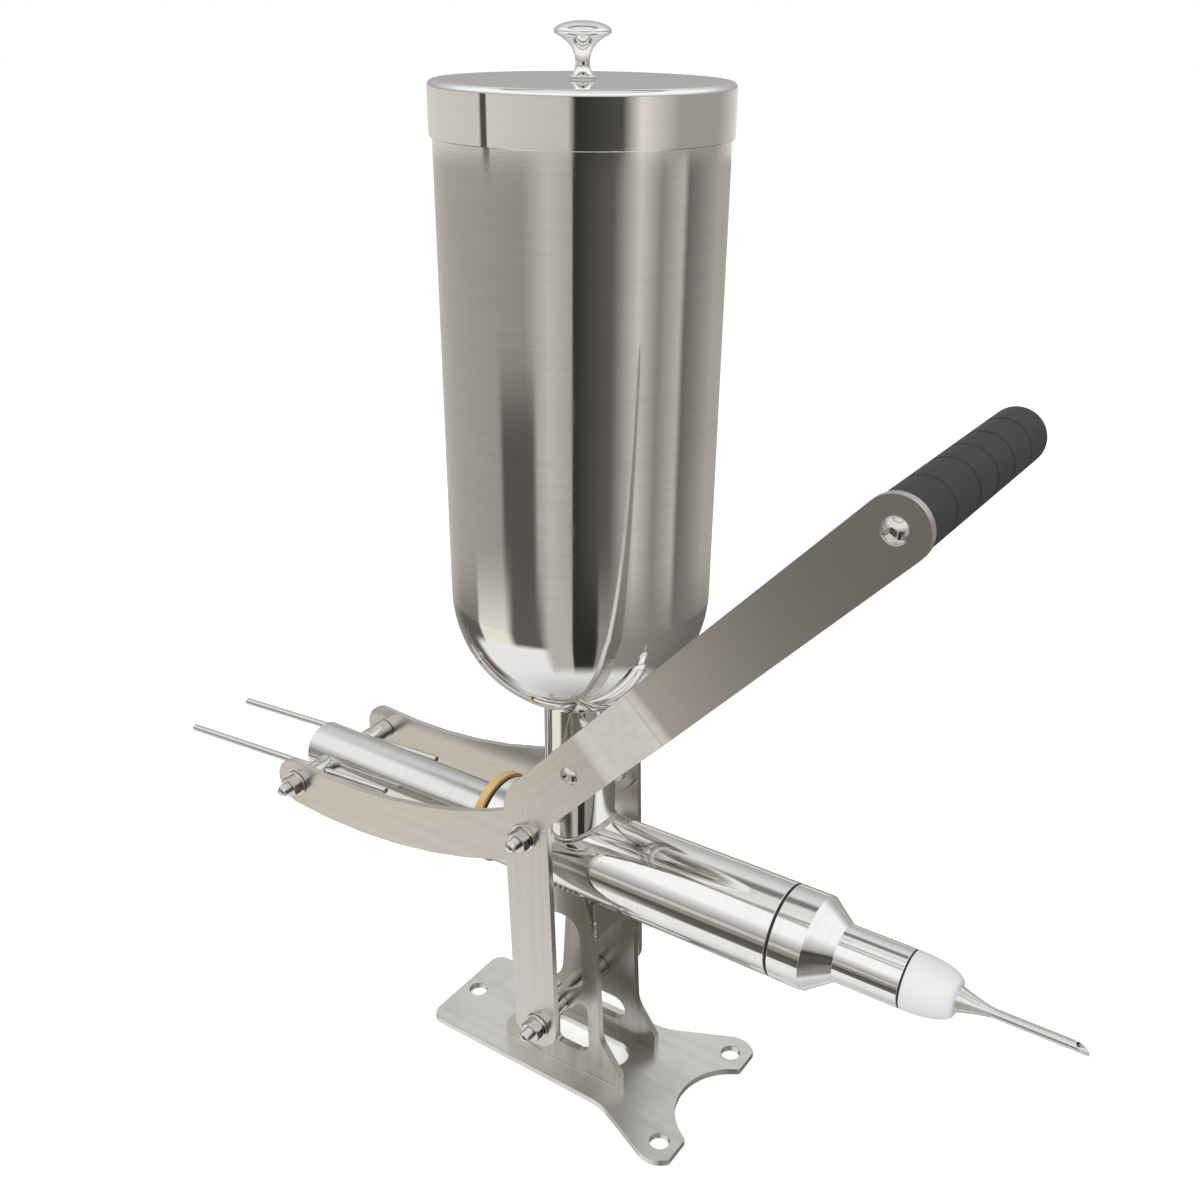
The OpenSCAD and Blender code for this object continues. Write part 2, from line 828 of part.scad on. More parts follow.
module lid_knob() {
  waist_r = knob_waist_d / 2;
  head_r = knob_d / 2;
  waist_z = knob_h * 0.25;
  edge_z = knob_h * 0.78;
  steps = 12;
  color(plated)
    difference() {
      translate([0, 0, lid_top_z])
        rotate_extrude()
          polygon(concat(
            [[0, 0], [knob_collar_r - 0.6, 0], [knob_collar_r, 0.6], [knob_collar_r, 1.2]],
            [for (i = [0:6]) let (u = i / 6)
              [waist_r + (knob_collar_r - 1 - waist_r) * pow(1 - u, 2), 1.8 + u * (waist_z - 1.8)]],
            [for (i = [1:steps]) let (u = i / steps)
              [waist_r + (head_r - 0.6 - waist_r) * pow(u, 2.9), waist_z + u * (edge_z - waist_z)]],
            [for (i = [0:steps]) let (a = 90 * i / steps)
              [head_r * cos(a), edge_z + 0.8 + (knob_h - edge_z - 0.8) * sin(a)]]
          ));
      translate([0, 0, lid_top_z - 1])
        cylinder(d = knob_screw_d + 2 * running_clear, h = 9);
    }
}

module knob_screw() {
  under_z = lid_top_z - lid_t;
  color(plated) {
    translate([0, 0, under_z - 0.01])
      cylinder(d = knob_screw_d, h = lid_t + 7);
    translate([0, 0, under_z]) mirror([0, 0, 1])
      button_head(10, 2.6);
  }
}

// ---- lever ---------------------------------------------------------------

// Outline of a leg and an arm whose round end is centred at reach from the elbow
module lever_outline(reach) {
  up = lean(leg_lean);
  ahead = [up[1], -up[0]];
  along = rise(arm_angle);
  over = [-along[1], along[0]];
  leg_half = leg_w / 2;
  arm_half = arm_w / 2;
  foot_r = leg_half - 0.05;
  end_r = arm_half - 0.05;
  leg_foot = axle_point - leg_set_back * ahead;
  bottom = leg_foot - leg_half * up;
  front_line = leg_foot + leg_half * ahead;
  rear_line = leg_foot - leg_half * ahead;
  low_line = elbow - arm_half * over;
  high_line = elbow + arm_half * over;
  inner = cross_at(front_line, up, low_line, along);
  outer = cross_at(rear_line, up, high_line, along);
  end = elbow + (reach + arm_half) * along;
  polygon(rounded([
    with_r(bottom - leg_half * ahead, foot_r),
    with_r(bottom + leg_half * ahead, foot_r),
    with_r(inner, elbow_inner_r),
    with_r(end - arm_half * over, end_r),
    with_r(end + arm_half * over, end_r),
    with_r(outer, elbow_outer_r)
  ]));
}

function with_r(p, r) = [p[0], p[1], r];

// Crossing of the lines p + s u and q + t v
function cross_at(p, u, q, v) =
  let (d = q - p, det = u[0] * v[1] - u[1] * v[0])
  p + u * (d[0] * v[1] - d[1] * v[0]) / det;

// Sheet that steps outwards at the arm's bend, seen along the arm's width
module bent_sheet() {
  half_turn = atan(bend_step / bend_l) / 2;
  shift = lever_t * tan(half_turn);
  a = bend_start;
  b = bend_start + bend_l;
  far_end = arm_l + arm_w;
  translate([elbow[0], 0, elbow[1]])
    rotate([0, -arm_angle, 0])
      translate([0, 0, -400])
        linear_extrude(800)
          polygon([
            [-400, -lever_y], [-400, -lever_y - lever_t],
            [a - shift, -lever_y - lever_t], [b - shift, -arm_y - lever_t],
            [far_end, -arm_y - lever_t], [far_end, -arm_y],
            [b, -arm_y], [a, -lever_y]
          ]);
}

module lever_holes() {
  rod_y(axle_point, bolt_r + running_clear, -100, 100);
  rod_y(link_bolt_point, bolt_r + seat_clear, -100, 100);
  rod_y(crossbar_point, button_screw_d / 2 + seat_clear, -100, 100);
}

module lever_near() {
  color(brushed)
    difference() {
      intersection() {
        side_plate(-arm_y - 2 * lever_t, arm_y - lever_y + 3 * lever_t)
          lever_outline(arm_l);
        bent_sheet();
      }
      lever_holes();
      rod_y(grip_point, grip_screw_d / 2 + seat_clear, -100, 0);
    }
}

module lever_far() {
  color(brushed)
    difference() {
      side_plate(lever_y, lever_t) lever_outline(crossbar_reach);
      lever_holes();
    }
}

module lever_crossbar() {
  half_l = lever_y;
  color(plated)
    difference() {
      rod_y(crossbar_point, crossbar_d / 2, -half_l, half_l);
      both_sides()
        rod_y(crossbar_point, button_screw_d / 2 + running_clear, half_l - 16, half_l + 1);
    }
}

module crossbar_screws() {
  color(plated)
    both_sides() {
      rod_y(crossbar_point, button_screw_d / 2, lever_y - 14, lever_y + lever_t + 0.01);
      translate([crossbar_point[0], lever_y + lever_t, crossbar_point[1]])
        rotate([-90, 0, 0])
          button_head(button_d, button_h);
    }
}

link_washer_y = lever_y + lever_t;
link_nut_y = link_washer_y + washer_t;

module link_bolts() {
  head_y = link_inner_y - plate_gap - bolt_head_h;
  end_y = link_nut_y + nut_h + bolt_end;
  color(plated)
    both_sides() {
      translate([link_bolt_point[0], head_y, link_bolt_point[1]])
        rotate([-90, 0, 0])
          cylinder(r = nut_af / 2 / cos(30), h = bolt_head_h - washer_t, $fn = 6);
      rod_y(link_bolt_point, link_cover_r, head_y + bolt_head_h - washer_t, head_y + bolt_head_h);
      rod_y(link_bolt_point, bolt_r, head_y + 1, end_y);
      translate([link_bolt_point[0], end_y, link_bolt_point[1]])
        rotate([-90, 0, 0])
          cylinder(r1 = bolt_r, r2 = bolt_r * 0.6, h = bolt_tip);
    }
}

module link_washers() {
  color(plated) rings(link_bolt_point, washer_r, bolt_r + seat_clear, link_washer_y, washer_t);
}

module link_nuts() {
  color(plated) nuts(link_bolt_point, link_nut_y);
}

grip_start_y = -arm_y + seat_clear;
grip_end_y = grip_start_y + grip_l;
grip_end_wall = 10;

module grip_core() {
  color(plated)
    difference() {
      rod_y(grip_point, grip_core_d / 2, -arm_y, grip_end_y - grip_end_wall);
      rod_y(grip_point, grip_screw_d / 2 + running_clear, -arm_y - 1, -arm_y + 26);
    }
}

module grip_sleeve() {
  r = grip_d / 2;
  edge_r = 3;
  color(grip_black)
    translate([grip_point[0], grip_start_y, grip_point[1]])
      rotate([-90, 0, 0])
        difference() {
          rotate_extrude()
            difference() {
              union() {
                square([r - edge_r, grip_l]);
                translate([0, 0.8]) square([r, grip_l - edge_r - 0.8]);
                translate([r - edge_r, grip_l - edge_r]) circle(edge_r);
              }
              for (g = grooves)
                translate([r - groove_depth, g - groove_w / 2])
                  square([groove_depth + 1, groove_w]);
            }
          translate([0, 0, -1])
            cylinder(r = grip_core_d / 2 + seat_clear, h = grip_l - grip_end_wall + 1.2);
        }
}

module grip_screw() {
  color(plated) {
    rod_y(grip_point, grip_screw_d / 2, -arm_y - lever_t - 0.01, -arm_y + 24);
    translate([grip_point[0], -arm_y - lever_t, grip_point[1]])
      rotate([90, 0, 0])
        button_head(grip_button_d, grip_button_h);
  }
}

// ---- links, plunger and stop rods ----------------------------------------

// Curved band between the cross pin and the link bolt, with round ends
module link_outline() {
  half_w = link_w / 2;
  run = link_bolt_point - cross_pin_point;
  tilt = atan2(run[1], run[0]);
  half_angle = asin(link_l / 2 / link_arc_r);
  centre = cross_pin_point + run / 2 + (link_arc_r - link_sag) * [-sin(tilt), cos(tilt)];
  low = 270 + tilt;
  polygon(concat(
    arc(centre, link_arc_r + half_w, low - half_angle, 2 * half_angle),
    arc(link_bolt_point, half_w, low + half_angle, 180),
    arc(centre, link_arc_r - half_w, low + half_angle, -2 * half_angle),
    arc(cross_pin_point, half_w, low - half_angle + 180, 180)
  ));
}

module link_plate() {
  color(brushed)
    difference() {
      side_plate(link_inner_y, link_t) link_outline();
      rod_y(link_bolt_point, link_front_hole_r, 0, 100);
      rod_y(cross_pin_point, bolt_r + running_clear, 0, 100);
    }
}

module link_near() {
  mirror([0, 1, 0]) link_plate();
}

module link_far() {
  link_plate();
}

// Places a child that points along +X onto a stop rod's axis
module on_rod(side) {
  translate([cross_pin_x, side * stop_rod_y, barrel_z])
    rotate([0, -stop_rod_tilt, 0])
      children();
}

module plunger() {
  chamfer = 1.5;
  color(polished)
    difference() {
      turned_x()
        polygon(concat(
          [[0, plunger_rear_x], [plunger_r - chamfer, plunger_rear_x],
           [plunger_r, plunger_rear_x + chamfer]],
          [[plunger_r, plunger_tip_x - chamfer],
           [plunger_r - chamfer, plunger_tip_x], [0, plunger_tip_x]]
        ));
      rod_y(cross_pin_point, cross_pin_d / 2 + seat_clear, -50, 50);
      for (set_back = plunger_seal_set)
        difference() {
          rod_x(plunger_r + 1, plunger_tip_x - set_back - plunger_seal_w, plunger_tip_x - set_back);
          rod_x(plunger_r - plunger_seal_depth, plunger_tip_x - 50, plunger_tip_x);
        }
    }
}

module plunger_seals() {
  color(seal_black)
    for (set_back = plunger_seal_set)
      difference() {
        rod_x(plunger_r, plunger_tip_x - set_back - plunger_seal_w + seat_clear,
          plunger_tip_x - set_back - seat_clear);
        rod_x(plunger_r - plunger_seal_depth + seat_clear, plunger_tip_x - 50, plunger_tip_x);
      }
}

pin_shoulder_y = link_inner_y - plate_gap;
pin_washer_y = link_outer_y + plate_gap;
pin_nut_y = pin_washer_y + washer_t;

module cross_pin() {
  color(polished)
    difference() {
      union() {
        rod_y(cross_pin_point, cross_pin_d / 2, -pin_shoulder_y, pin_shoulder_y);
        threaded_rod(cross_pin_point, bolt_r, pin_nut_y + nut_h + bolt_end);
      }
      for (side = [-1, 1])
        on_rod(side) {
          rotate([0, 90, 0])
            cylinder(r = stop_rod_d / 2 + slide_clear, h = 40, center = true);
          cylinder(d = set_screw_d + 2 * running_clear, h = cross_pin_d);
        }
    }
}

module pin_washers() {
  color(plated) rings(cross_pin_point, washer_r, bolt_r + seat_clear, pin_washer_y, washer_t);
}

module pin_nuts() {
  color(plated) nuts(cross_pin_point, pin_nut_y);
}

module rod_set_screws() {
  color(plated)
    for (side = [-1, 1])
      on_rod(side)
        translate([0, 0, stop_rod_d / 2 + slide_clear])
          cylinder(d = set_screw_d, h = cross_pin_d / 2 - stop_rod_d / 2 + 0.6);
}

module stop_rod(side, reach) {
  chamfer = 0.6;
  r = stop_rod_d / 2;
  color(polished)
    on_rod(side)
      translate([reach - stop_rod_l, 0, 0])
        rotate([0, 90, 0])
          rotate_extrude()
            polygon([
              [0, 0], [r - chamfer, 0], [r, chamfer],
              [r, stop_rod_l - chamfer], [r - chamfer, stop_rod_l], [0, stop_rod_l]
            ]);
}

module stop_rod_near() {
  stop_rod(-1, stop_rod_near_reach);
}

module stop_rod_far() {
  stop_rod(1, stop_rod_far_reach);
}

base_plate();
upright_near();
upright_far();
front_web();
axle_sleeve();
axle_spacers();
lever_axle();
axle_washers();
axle_nuts();
barrel_tube();
hopper_neck();
hopper_shell();
guide_bush();
bush_seal_ring();
dosing_liner();
front_seal_ring();
nose_cone();
holder_seal_ring();
needle_holder();
filling_needle();
lid_cap();
lid_knob();
knob_screw();
lever_near();
lever_far();
lever_crossbar();
crossbar_screws();
link_bolts();
link_washers();
link_nuts();
grip_core();
grip_sleeve();
grip_screw();
link_near();
link_far();
plunger();
plunger_seals();
cross_pin();
pin_washers();
pin_nuts();
rod_set_screws();
stop_rod_near();
stop_rod_far();
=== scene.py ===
"""Looks of a hand lever donut filler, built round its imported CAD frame.

Lengths are millimetres until a piece is finished, then metres. +X runs towards the
needle, +Z up and -Y towards the side with the long arm, as in the frame.
"""

from math import asin, atan2, ceil, cos, degrees, pi, radians, sin, sqrt, tan

import bmesh
import bpy
from bpy.props import FloatProperty, FloatVectorProperty, IntProperty, PointerProperty
from mathutils import Matrix, Vector


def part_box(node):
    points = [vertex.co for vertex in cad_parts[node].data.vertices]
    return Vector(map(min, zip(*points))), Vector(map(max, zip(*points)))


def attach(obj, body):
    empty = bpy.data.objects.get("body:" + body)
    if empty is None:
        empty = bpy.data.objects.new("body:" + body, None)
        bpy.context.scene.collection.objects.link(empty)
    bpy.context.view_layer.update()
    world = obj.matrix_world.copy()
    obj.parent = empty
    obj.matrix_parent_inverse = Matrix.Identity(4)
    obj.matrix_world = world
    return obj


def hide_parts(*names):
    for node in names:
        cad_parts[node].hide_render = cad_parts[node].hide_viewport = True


bl_info = {
    "name": "Donut filler",
    "version": (1, 0, 0),
    "blender": (4, 5, 0),
    "location": "View3D > Sidebar > Filler",
    "description": "Builds the finished pieces of a hand lever donut filler",
    "category": "Object",
}

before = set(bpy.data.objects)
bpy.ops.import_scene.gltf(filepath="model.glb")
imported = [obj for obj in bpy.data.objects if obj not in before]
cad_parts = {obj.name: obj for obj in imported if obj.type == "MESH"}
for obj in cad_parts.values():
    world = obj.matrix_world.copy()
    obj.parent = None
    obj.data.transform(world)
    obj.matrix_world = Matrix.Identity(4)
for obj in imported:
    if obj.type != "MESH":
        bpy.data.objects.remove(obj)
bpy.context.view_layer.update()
MM = 0.001


def span(node):
    """Lowest and highest corner of a CAD node, in millimetres."""
    low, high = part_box(node)
    return low / MM, high / MM


def middle(node):
    low, high = span(node)
    return (low + high) / 2


def radius(node, across="x"):
    """Half the width of a round node."""
    low, high = span(node)
    return (getattr(high, across) - getattr(low, across)) / 2


# ---- sizes read from the frame ------------------------------------------------

BARREL_LOW, BARREL_HIGH = span("barrel_tube")
BARREL_R = radius("barrel_tube", "y")
BARREL_Z = (BARREL_HIGH.z + BARREL_LOW.z) / 2
HOPPER_LOW, HOPPER_HIGH = span("hopper_shell")
HOPPER_R = radius("hopper_shell")
NECK_R = radius("hopper_neck")
PLUNGER_LOW, PLUNGER_HIGH = span("plunger")
PLUNGER_R = radius("plunger", "y")
AXLE = middle("lever_axle")
LINK_BOLT = middle("link_bolts")
CROSS_PIN = middle("cross_pin")
CROSS_BAR = middle("lever_crossbar")
GRIP = middle("grip_sleeve")
BOLT_R = radius("lever_axle")
BARREL_AXIS = Vector((0, 0, BARREL_Z))


# ---- sizes that the frame's boxes don't show ------------------------------------

SIDES = ((-1, "near"), (1, "far"))
BAR_REACH = 46.4  # from the elbow up the arm to the cross bar
HOPPER_WALL = 1.5
LID_WALL = 1.3
NECK_BORE_R = NECK_R - 2.2
BARREL_WALL = 2.6
LINER_BORE_R = PLUNGER_R + 0.2
AXLE_BORE_R = 4.1
PLATE_T = 4.5
UPRIGHT_OUTER, UPRIGHT_INNER = 25, 20  # faces of the uprights, from the middle plane
WEB_HALF = 19.6
LINK_PLAY = 0.3
NUT_H = 6.5
WASHER_T = 1.6
ROD_LENGTH, ROD_R, ROD_TILT = 196.0, 2.5, radians(4)
DRILL_R = 2.9  # of the holes for the stop rods


# ---- sizes and colours that a user would change --------------------------------


def colour(name, description, default):
    return FloatVectorProperty(name=name, description=description, subtype="COLOR", size=3,
                               default=default, min=0, max=1)


class FillerColours(bpy.types.PropertyGroup):
    """Base colours of the finishes."""

    satin: colour("Satin plate", "Brushed stainless plate", (0.725, 0.69, 0.645))
    satin_low: colour("Satin plate, dull", "Handled patches of the plate", (0.64, 0.605, 0.56))
    upright: colour("Uprights", "Brushed uprights and web", (0.62, 0.60, 0.55))
    base: colour("Base plate", "Brushed base plate", (0.88, 0.87, 0.83))
    polished: colour("Polished steel", "Hopper, barrel and nose", (0.93, 0.925, 0.91))
    plated: colour("Plated steel", "Fasteners", (0.80, 0.79, 0.77))
    bush: colour("Guide bush", "Tan plastic", (0.80, 0.54, 0.235))
    seal: colour("Seals", "Black rubber", (0.012, 0.012, 0.013))
    holder: colour("Needle holder", "White plastic", (0.76, 0.765, 0.785))
    grip: colour("Grip", "Charcoal rubber", (0.022, 0.023, 0.024))
    floor: colour("Floor", "Pale studio floor", (0.88, 0.88, 0.87))


class FillerSizes(bpy.types.PropertyGroup):
    """Sizes of the details, in millimetres, and mesh steps."""

    plate_edge: FloatProperty(name="Plate edge", description="Rounding of the plates' edges",
                              default=0.45, min=0.1, max=1.5)
    turned_edge: FloatProperty(name="Turned edge", description="Rounding of turned edges",
                               default=0.5, min=0.1, max=1.5)
    thread_pitch: FloatProperty(name="Thread pitch", description="Pitch of the threaded ends",
                                default=1.25, min=0.5, max=2)
    thread_depth: FloatProperty(name="Thread depth", description="Depth of the threads",
                                default=0.55, min=0.2, max=0.9)
    nut_af: FloatProperty(name="Nut width", description="Width of the nuts across their flats",
                          default=13, min=10, max=16)
    weld_r: FloatProperty(name="Weld bead", description="Half width of the weld beads",
                          default=1.5, min=0.5, max=3)
    groove_w: FloatProperty(name="Groove", description="Width of the grip's grooves",
                            default=1.6, min=0.6, max=3)
    groove_depth: FloatProperty(name="Groove depth", description="Depth of the grip's grooves",
                                default=1.0, min=0.3, max=2)
    fine_steps: IntProperty(name="Fine steps", description="Steps round a large turned piece",
                            default=144, min=24, max=256)
    small_steps: IntProperty(name="Small steps", description="Steps round a small turned piece",
                             default=48, min=12, max=96)


def colours():
    return bpy.context.scene.filler_colours


def sizes():
    return bpy.context.scene.filler_sizes


# ---- outlines -------------------------------------------------------------------

ARC_STEP = 9


def arc(centre, r, start, sweep):
    """Points of an arc about (radius, height), angles in degrees."""
    n = max(2, ceil(abs(sweep) / ARC_STEP))
    angles = [radians(start + sweep * i / n) for i in range(n + 1)]
    return [(centre[0] + r * cos(a), centre[1] + r * sin(a)) for a in angles]


def eased(points):
    """Rounds each corner of an open outline whose points may carry a third value, its radius."""
    out = []
    for i, point in enumerate(points):
        r = point[2] if len(point) > 2 else 0
        if r <= 0 or i in (0, len(points) - 1):
            out.append(point[:2])
            continue
        here = Vector(point[:2])
        back = Vector(points[i - 1][:2]) - here
        ahead = Vector(points[i + 1][:2]) - here
        half = back.angle(ahead) / 2
        r = min(r, 0.45 * min(back.length, ahead.length) * tan(half))
        back.normalize()
        ahead.normalize()
        centre = here + (back + ahead).normalized() * r / sin(half)
        first = here + back * r / tan(half) - centre
        last = here + ahead * r / tan(half) - centre
        start = degrees(atan2(first.y, first.x))
        sweep = degrees(atan2(last.y, last.x)) - start
        sweep = (sweep + 180) % 360 - 180
        out += arc(centre, r, start, sweep)
    return out


def threads(r, start, end):
    """Outline of a thread from start to end along its rod."""
    pitch = sizes().thread_pitch
    root = r - sizes().thread_depth
    way = 1 if end > start else -1
    count = int(abs(end - start) / pitch)
    out = []
    for i in range(count):
        at = start + way * pitch * i
        out += [(root, at), (r, at + way * pitch * 0.38), (r, at + way * pitch * 0.62)]
    return out + [(root, end)]


def steps(start, end, pitch):
    count = int((end - start) / pitch)
    return [start + (end - start) * i / count for i in range(count + 1)]


def mirrored(side):
    """Outline of a whole rod from the outline of its far half."""
    return [(r, -h) for r, h in reversed(side)] + side


def sleeve_outline(node, bore, edge):
    """Outline of a plain ring or tube round the barrel's axis, with its outer edges rounded."""
    low, high = span(node)
    r = radius(node, "y")
    return eased([(bore, low.x), (r, low.x, edge), (r, high.x, edge), (bore, high.x)])


# ---- meshes ---------------------------------------------------------------------

TURN = {
    "X": Matrix.Rotation(pi / 2, 4, "Y"),
    "Y": Matrix.Rotation(-pi / 2, 4, "X"),
    "-Y": Matrix.Rotation(pi / 2, 4, "X"),
    "Z": Matrix.Identity(4),
    "-Z": Matrix.Rotation(pi, 4, "X"),
}
WELD_GAP = 1e-4


def placed(bm, verts, axis="Z", at=(0, 0, 0)):
    """Turns new geometry from +Z onto an axis and moves it to its place."""
    bmesh.ops.transform(bm, matrix=Matrix.Translation(Vector(at)) @ TURN[axis], verts=verts)


def turned(bm, outline, axis="Z", at=(0, 0, 0), steps=48, ring=False):
    """Spins an outline of (radius, height) about an axis. A ring's outline is closed."""
    known = set(bm.verts)
    verts = [bm.verts.new((r, 0, h)) for r, h in outline]
    pairs = list(zip(verts, verts[1:]))
    if ring:
        pairs.append((verts[-1], verts[0]))
    edges = [bm.edges.new(pair) for pair in pairs]
    bmesh.ops.spin(bm, geom=verts + edges, cent=(0, 0, 0), axis=(0, 0, 1), angle=2 * pi,
                   steps=steps, use_merge=True, use_duplicate=False)
    new = [v for v in bm.verts if v not in known]
    bmesh.ops.remove_doubles(bm, verts=new, dist=WELD_GAP)
    new = [v for v in bm.verts if v not in known]
    placed(bm, new, axis, at)
    return new


def prism(bm, r, low, high, sides, axis="Z", at=(0, 0, 0)):
    """A closed prism from low to high along an axis."""
    made = bmesh.ops.create_cone(bm, cap_ends=True, segments=sides, radius1=r, radius2=r,
                                 depth=high - low)
    bmesh.ops.translate(bm, vec=(0, 0, (high + low) / 2), verts=made["verts"])
    placed(bm, made["verts"], axis, at)
    return made["verts"]


def as_object(bm, name):
    bmesh.ops.recalc_face_normals(bm, faces=bm.faces)
    mesh = bpy.data.meshes.new(name)
    bm.to_mesh(mesh)
    bm.free()
    obj = bpy.data.objects.new(name, mesh)
    bpy.context.scene.collection.objects.link(obj)
    return obj


def joined(first, second, operation):
    """Two closed bmeshes made one by an exact boolean."""
    kept, tool = as_object(first, "kept"), as_object(second, "tool")
    step = kept.modifiers.new("join", "BOOLEAN")
    step.operation = operation
    step.object = tool
    step.solver = "EXACT"
    graph = bpy.context.evaluated_depsgraph_get()
    bm = bmesh.new()
    bm.from_mesh(kept.evaluated_get(graph).to_mesh())
    for obj in (kept, tool):
        bpy.data.objects.remove(obj)
    bmesh.ops.remove_doubles(bm, verts=bm.verts, dist=WELD_GAP)
    return bm


def cad_copy(*nodes):
    """Merged copy of CAD meshes, in millimetres."""
    bm = bmesh.new()
    for node in nodes:
        bm.from_mesh(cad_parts[node].data)
    bmesh.ops.scale(bm, vec=(1 / MM,) * 3, verts=bm.verts)
    bmesh.ops.remove_doubles(bm, verts=bm.verts, dist=0.002)
    bmesh.ops.dissolve_limit(bm, angle_limit=radians(0.4), verts=bm.verts, edges=bm.edges)
    return bm


def soften(bm, width, segments=2, sharp=40):
    """Rounds every edge sharper than an angle in degrees."""
    limit = radians(sharp)
    edges = [e for e in bm.edges if len(e.link_faces) == 2 and e.calc_face_angle(0) > limit]
    bmesh.ops.bevel(bm, geom=edges, offset=width, offset_type="OFFSET", segments=segments,
                    profile=0.5, affect="EDGES", clamp_overlap=True, material=-1)


def finish(name, bm, material, body, nodes=(), sharp=32):
    """Makes a bmesh a piece in metres that rides on its body and stands for its CAD nodes."""
    bmesh.ops.scale(bm, vec=(MM,) * 3, verts=bm.verts)
    piece = as_object(bm, name)
    mesh = piece.data
    mesh.shade_smooth()
    mesh.set_sharp_from_angle(angle=radians(sharp))
    weighted = piece.modifiers.new("shading", "WEIGHTED_NORMAL")
    weighted.keep_sharp = True
    mesh.materials.append(material)
    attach(piece, body)
    if nodes:
        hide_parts(*nodes)
    return piece


def lathe(name, node, outline, look, body="frame", axis="Z", at=(0, 0, 0), steps=None, ring=True,
          sharp=32):
    """A piece turned from one outline."""
    bm = bmesh.new()
    turned(bm, outline, axis, at, steps or sizes().fine_steps, ring)
    return finish(name, bm, material(look), body, [node], sharp)


def along_barrel(name, node, outline, look, body="frame", **extra):
    """A piece turned round the barrel's axis."""
    return lathe(name, node, outline, look, body, "X", BARREL_AXIS, **extra)


def round_bar(name, node, body, centre):
    """A plain plated bar from side to side, with rounded ends."""
    low, high = span(node)
    r = radius(node)
    outline = eased([(0, low.y), (r, low.y, 0.6), (r, high.y, 0.6), (0, high.y)])
    return lathe(name, node, outline, "plated", body, "Y", (centre.x, 0, centre.z),
                 sizes().small_steps, ring=False)


def sheet(name, node, look, body, bend=None):
    """A cut plate with its edges rounded, and bent where it has a bend."""
    bm = cad_copy(node)
    soften(bm, sizes().plate_edge)
    if bend:
        bend(bm)
    return finish(name, bm, material(look), body, [node])


def tilted(bm, verts, place):
    """Turns new geometry to the stop rods' rise and moves it to its place."""
    bmesh.ops.rotate(bm, verts=verts, cent=(0, 0, 0), matrix=Matrix.Rotation(-ROD_TILT, 3, "Y"))
    bmesh.ops.translate(bm, verts=verts, vec=place)


# ---- node groups shared by the finishes -------------------------------------------

FLOAT, VECTOR = "NodeSocketFloat", "NodeSocketVector"
PLACE = ("Vector", VECTOR, None)


def new_group(name, inputs, outputs):
    """Empty shader group with its sockets, and its input and output nodes."""
    group = bpy.data.node_groups.new(name, "ShaderNodeTree")
    for socket, kind, value in inputs:
        made = group.interface.new_socket(socket, in_out="INPUT", socket_type=kind)
        if value is not None:
            made.default_value = value
    for socket, kind in outputs:
        group.interface.new_socket(socket, in_out="OUTPUT", socket_type=kind)
    start = group.nodes.new("NodeGroupInput")
    end = group.nodes.new("NodeGroupOutput")
    return group, start, end


def maths(tree, operation, first, second=None, clamp=False, third=None):
    node = tree.nodes.new("ShaderNodeMath")
    node.operation = operation
    node.use_clamp = clamp
    for socket, value in zip(node.inputs, (first, second, third)):
        feed(tree, value, socket)
    return node.outputs[0]


def feed(tree, value, socket):
    """Links an output, or sets a plain value."""
    if value is None:
        return
    if isinstance(value, bpy.types.NodeSocket):
        tree.links.new(value, socket)
    else:
        socket.default_value = value


def times(tree, first, second, clamp=False):
    return maths(tree, "MULTIPLY", first, second, clamp)


def plus(tree, first, second, clamp=False):
    return maths(tree, "ADD", first, second, clamp)


def minus(tree, first, second):
    return maths(tree, "SUBTRACT", first, second)


def colour_mix(tree, factor, first, second):
    """First colour at factor 0, second at 1."""
    node = tree.nodes.new("ShaderNodeMix")
    node.data_type = "RGBA"
    feed(tree, factor, node.inputs["Factor"])
    for name, value in (("A", first), ("B", second)):
        socket = [s for s in node.inputs if s.name == name and s.type == "RGBA"][0]
        feed(tree, opaque(value), socket)
    return [s for s in node.outputs if s.type == "RGBA"][0]


def remap(tree, value, low, high, to_low=0.0, to_high=1.0):
    node = tree.nodes.new("ShaderNodeMapRange")
    node.interpolation_type = "SMOOTHSTEP"
    for name, given in (("Value", value), ("From Min", low), ("From Max", high),
                        ("To Min", to_low), ("To Max", to_high)):
        feed(tree, given, node.inputs[name])
    return node.outputs["Result"]


def noise(tree, vector, scale, detail=3.0, roughness=0.5):
    node = tree.nodes.new("ShaderNodeTexNoise")
    for name, given in (("Vector", vector), ("Scale", scale), ("Detail", detail),
                        ("Roughness", roughness)):
        feed(tree, given, node.inputs[name])
    return node.outputs[0]


def stretched(tree, vector, stretch):
    node = tree.nodes.new("ShaderNodeVectorMath")
    node.operation = "MULTIPLY"
    feed(tree, vector, node.inputs[0])
    feed(tree, stretch, node.inputs[1])
    return node.outputs[0]


def grain_group():
    """Fine lines along the direction with the smallest stretch, as brushing or turning leaves."""
    group, start, end = new_group(
        "surface_grain",
        [PLACE, ("Stretch", VECTOR, (1, 1, 1)),
         ("Scale", FLOAT, 1000.0)],
        [("Lines", FLOAT), ("Streaks", FLOAT)])
    along = stretched(group, start.outputs["Vector"], start.outputs["Stretch"])
    fine = noise(group, along, start.outputs["Scale"], 2.0, 0.6)
    wide = noise(group, along, times(group, start.outputs["Scale"], 0.16), 3.0, 0.6)
    feed(group, remap(group, fine, 0.3, 0.7), end.inputs["Lines"])
    feed(group, remap(group, wide, 0.36, 0.66), end.inputs["Streaks"])
    return group


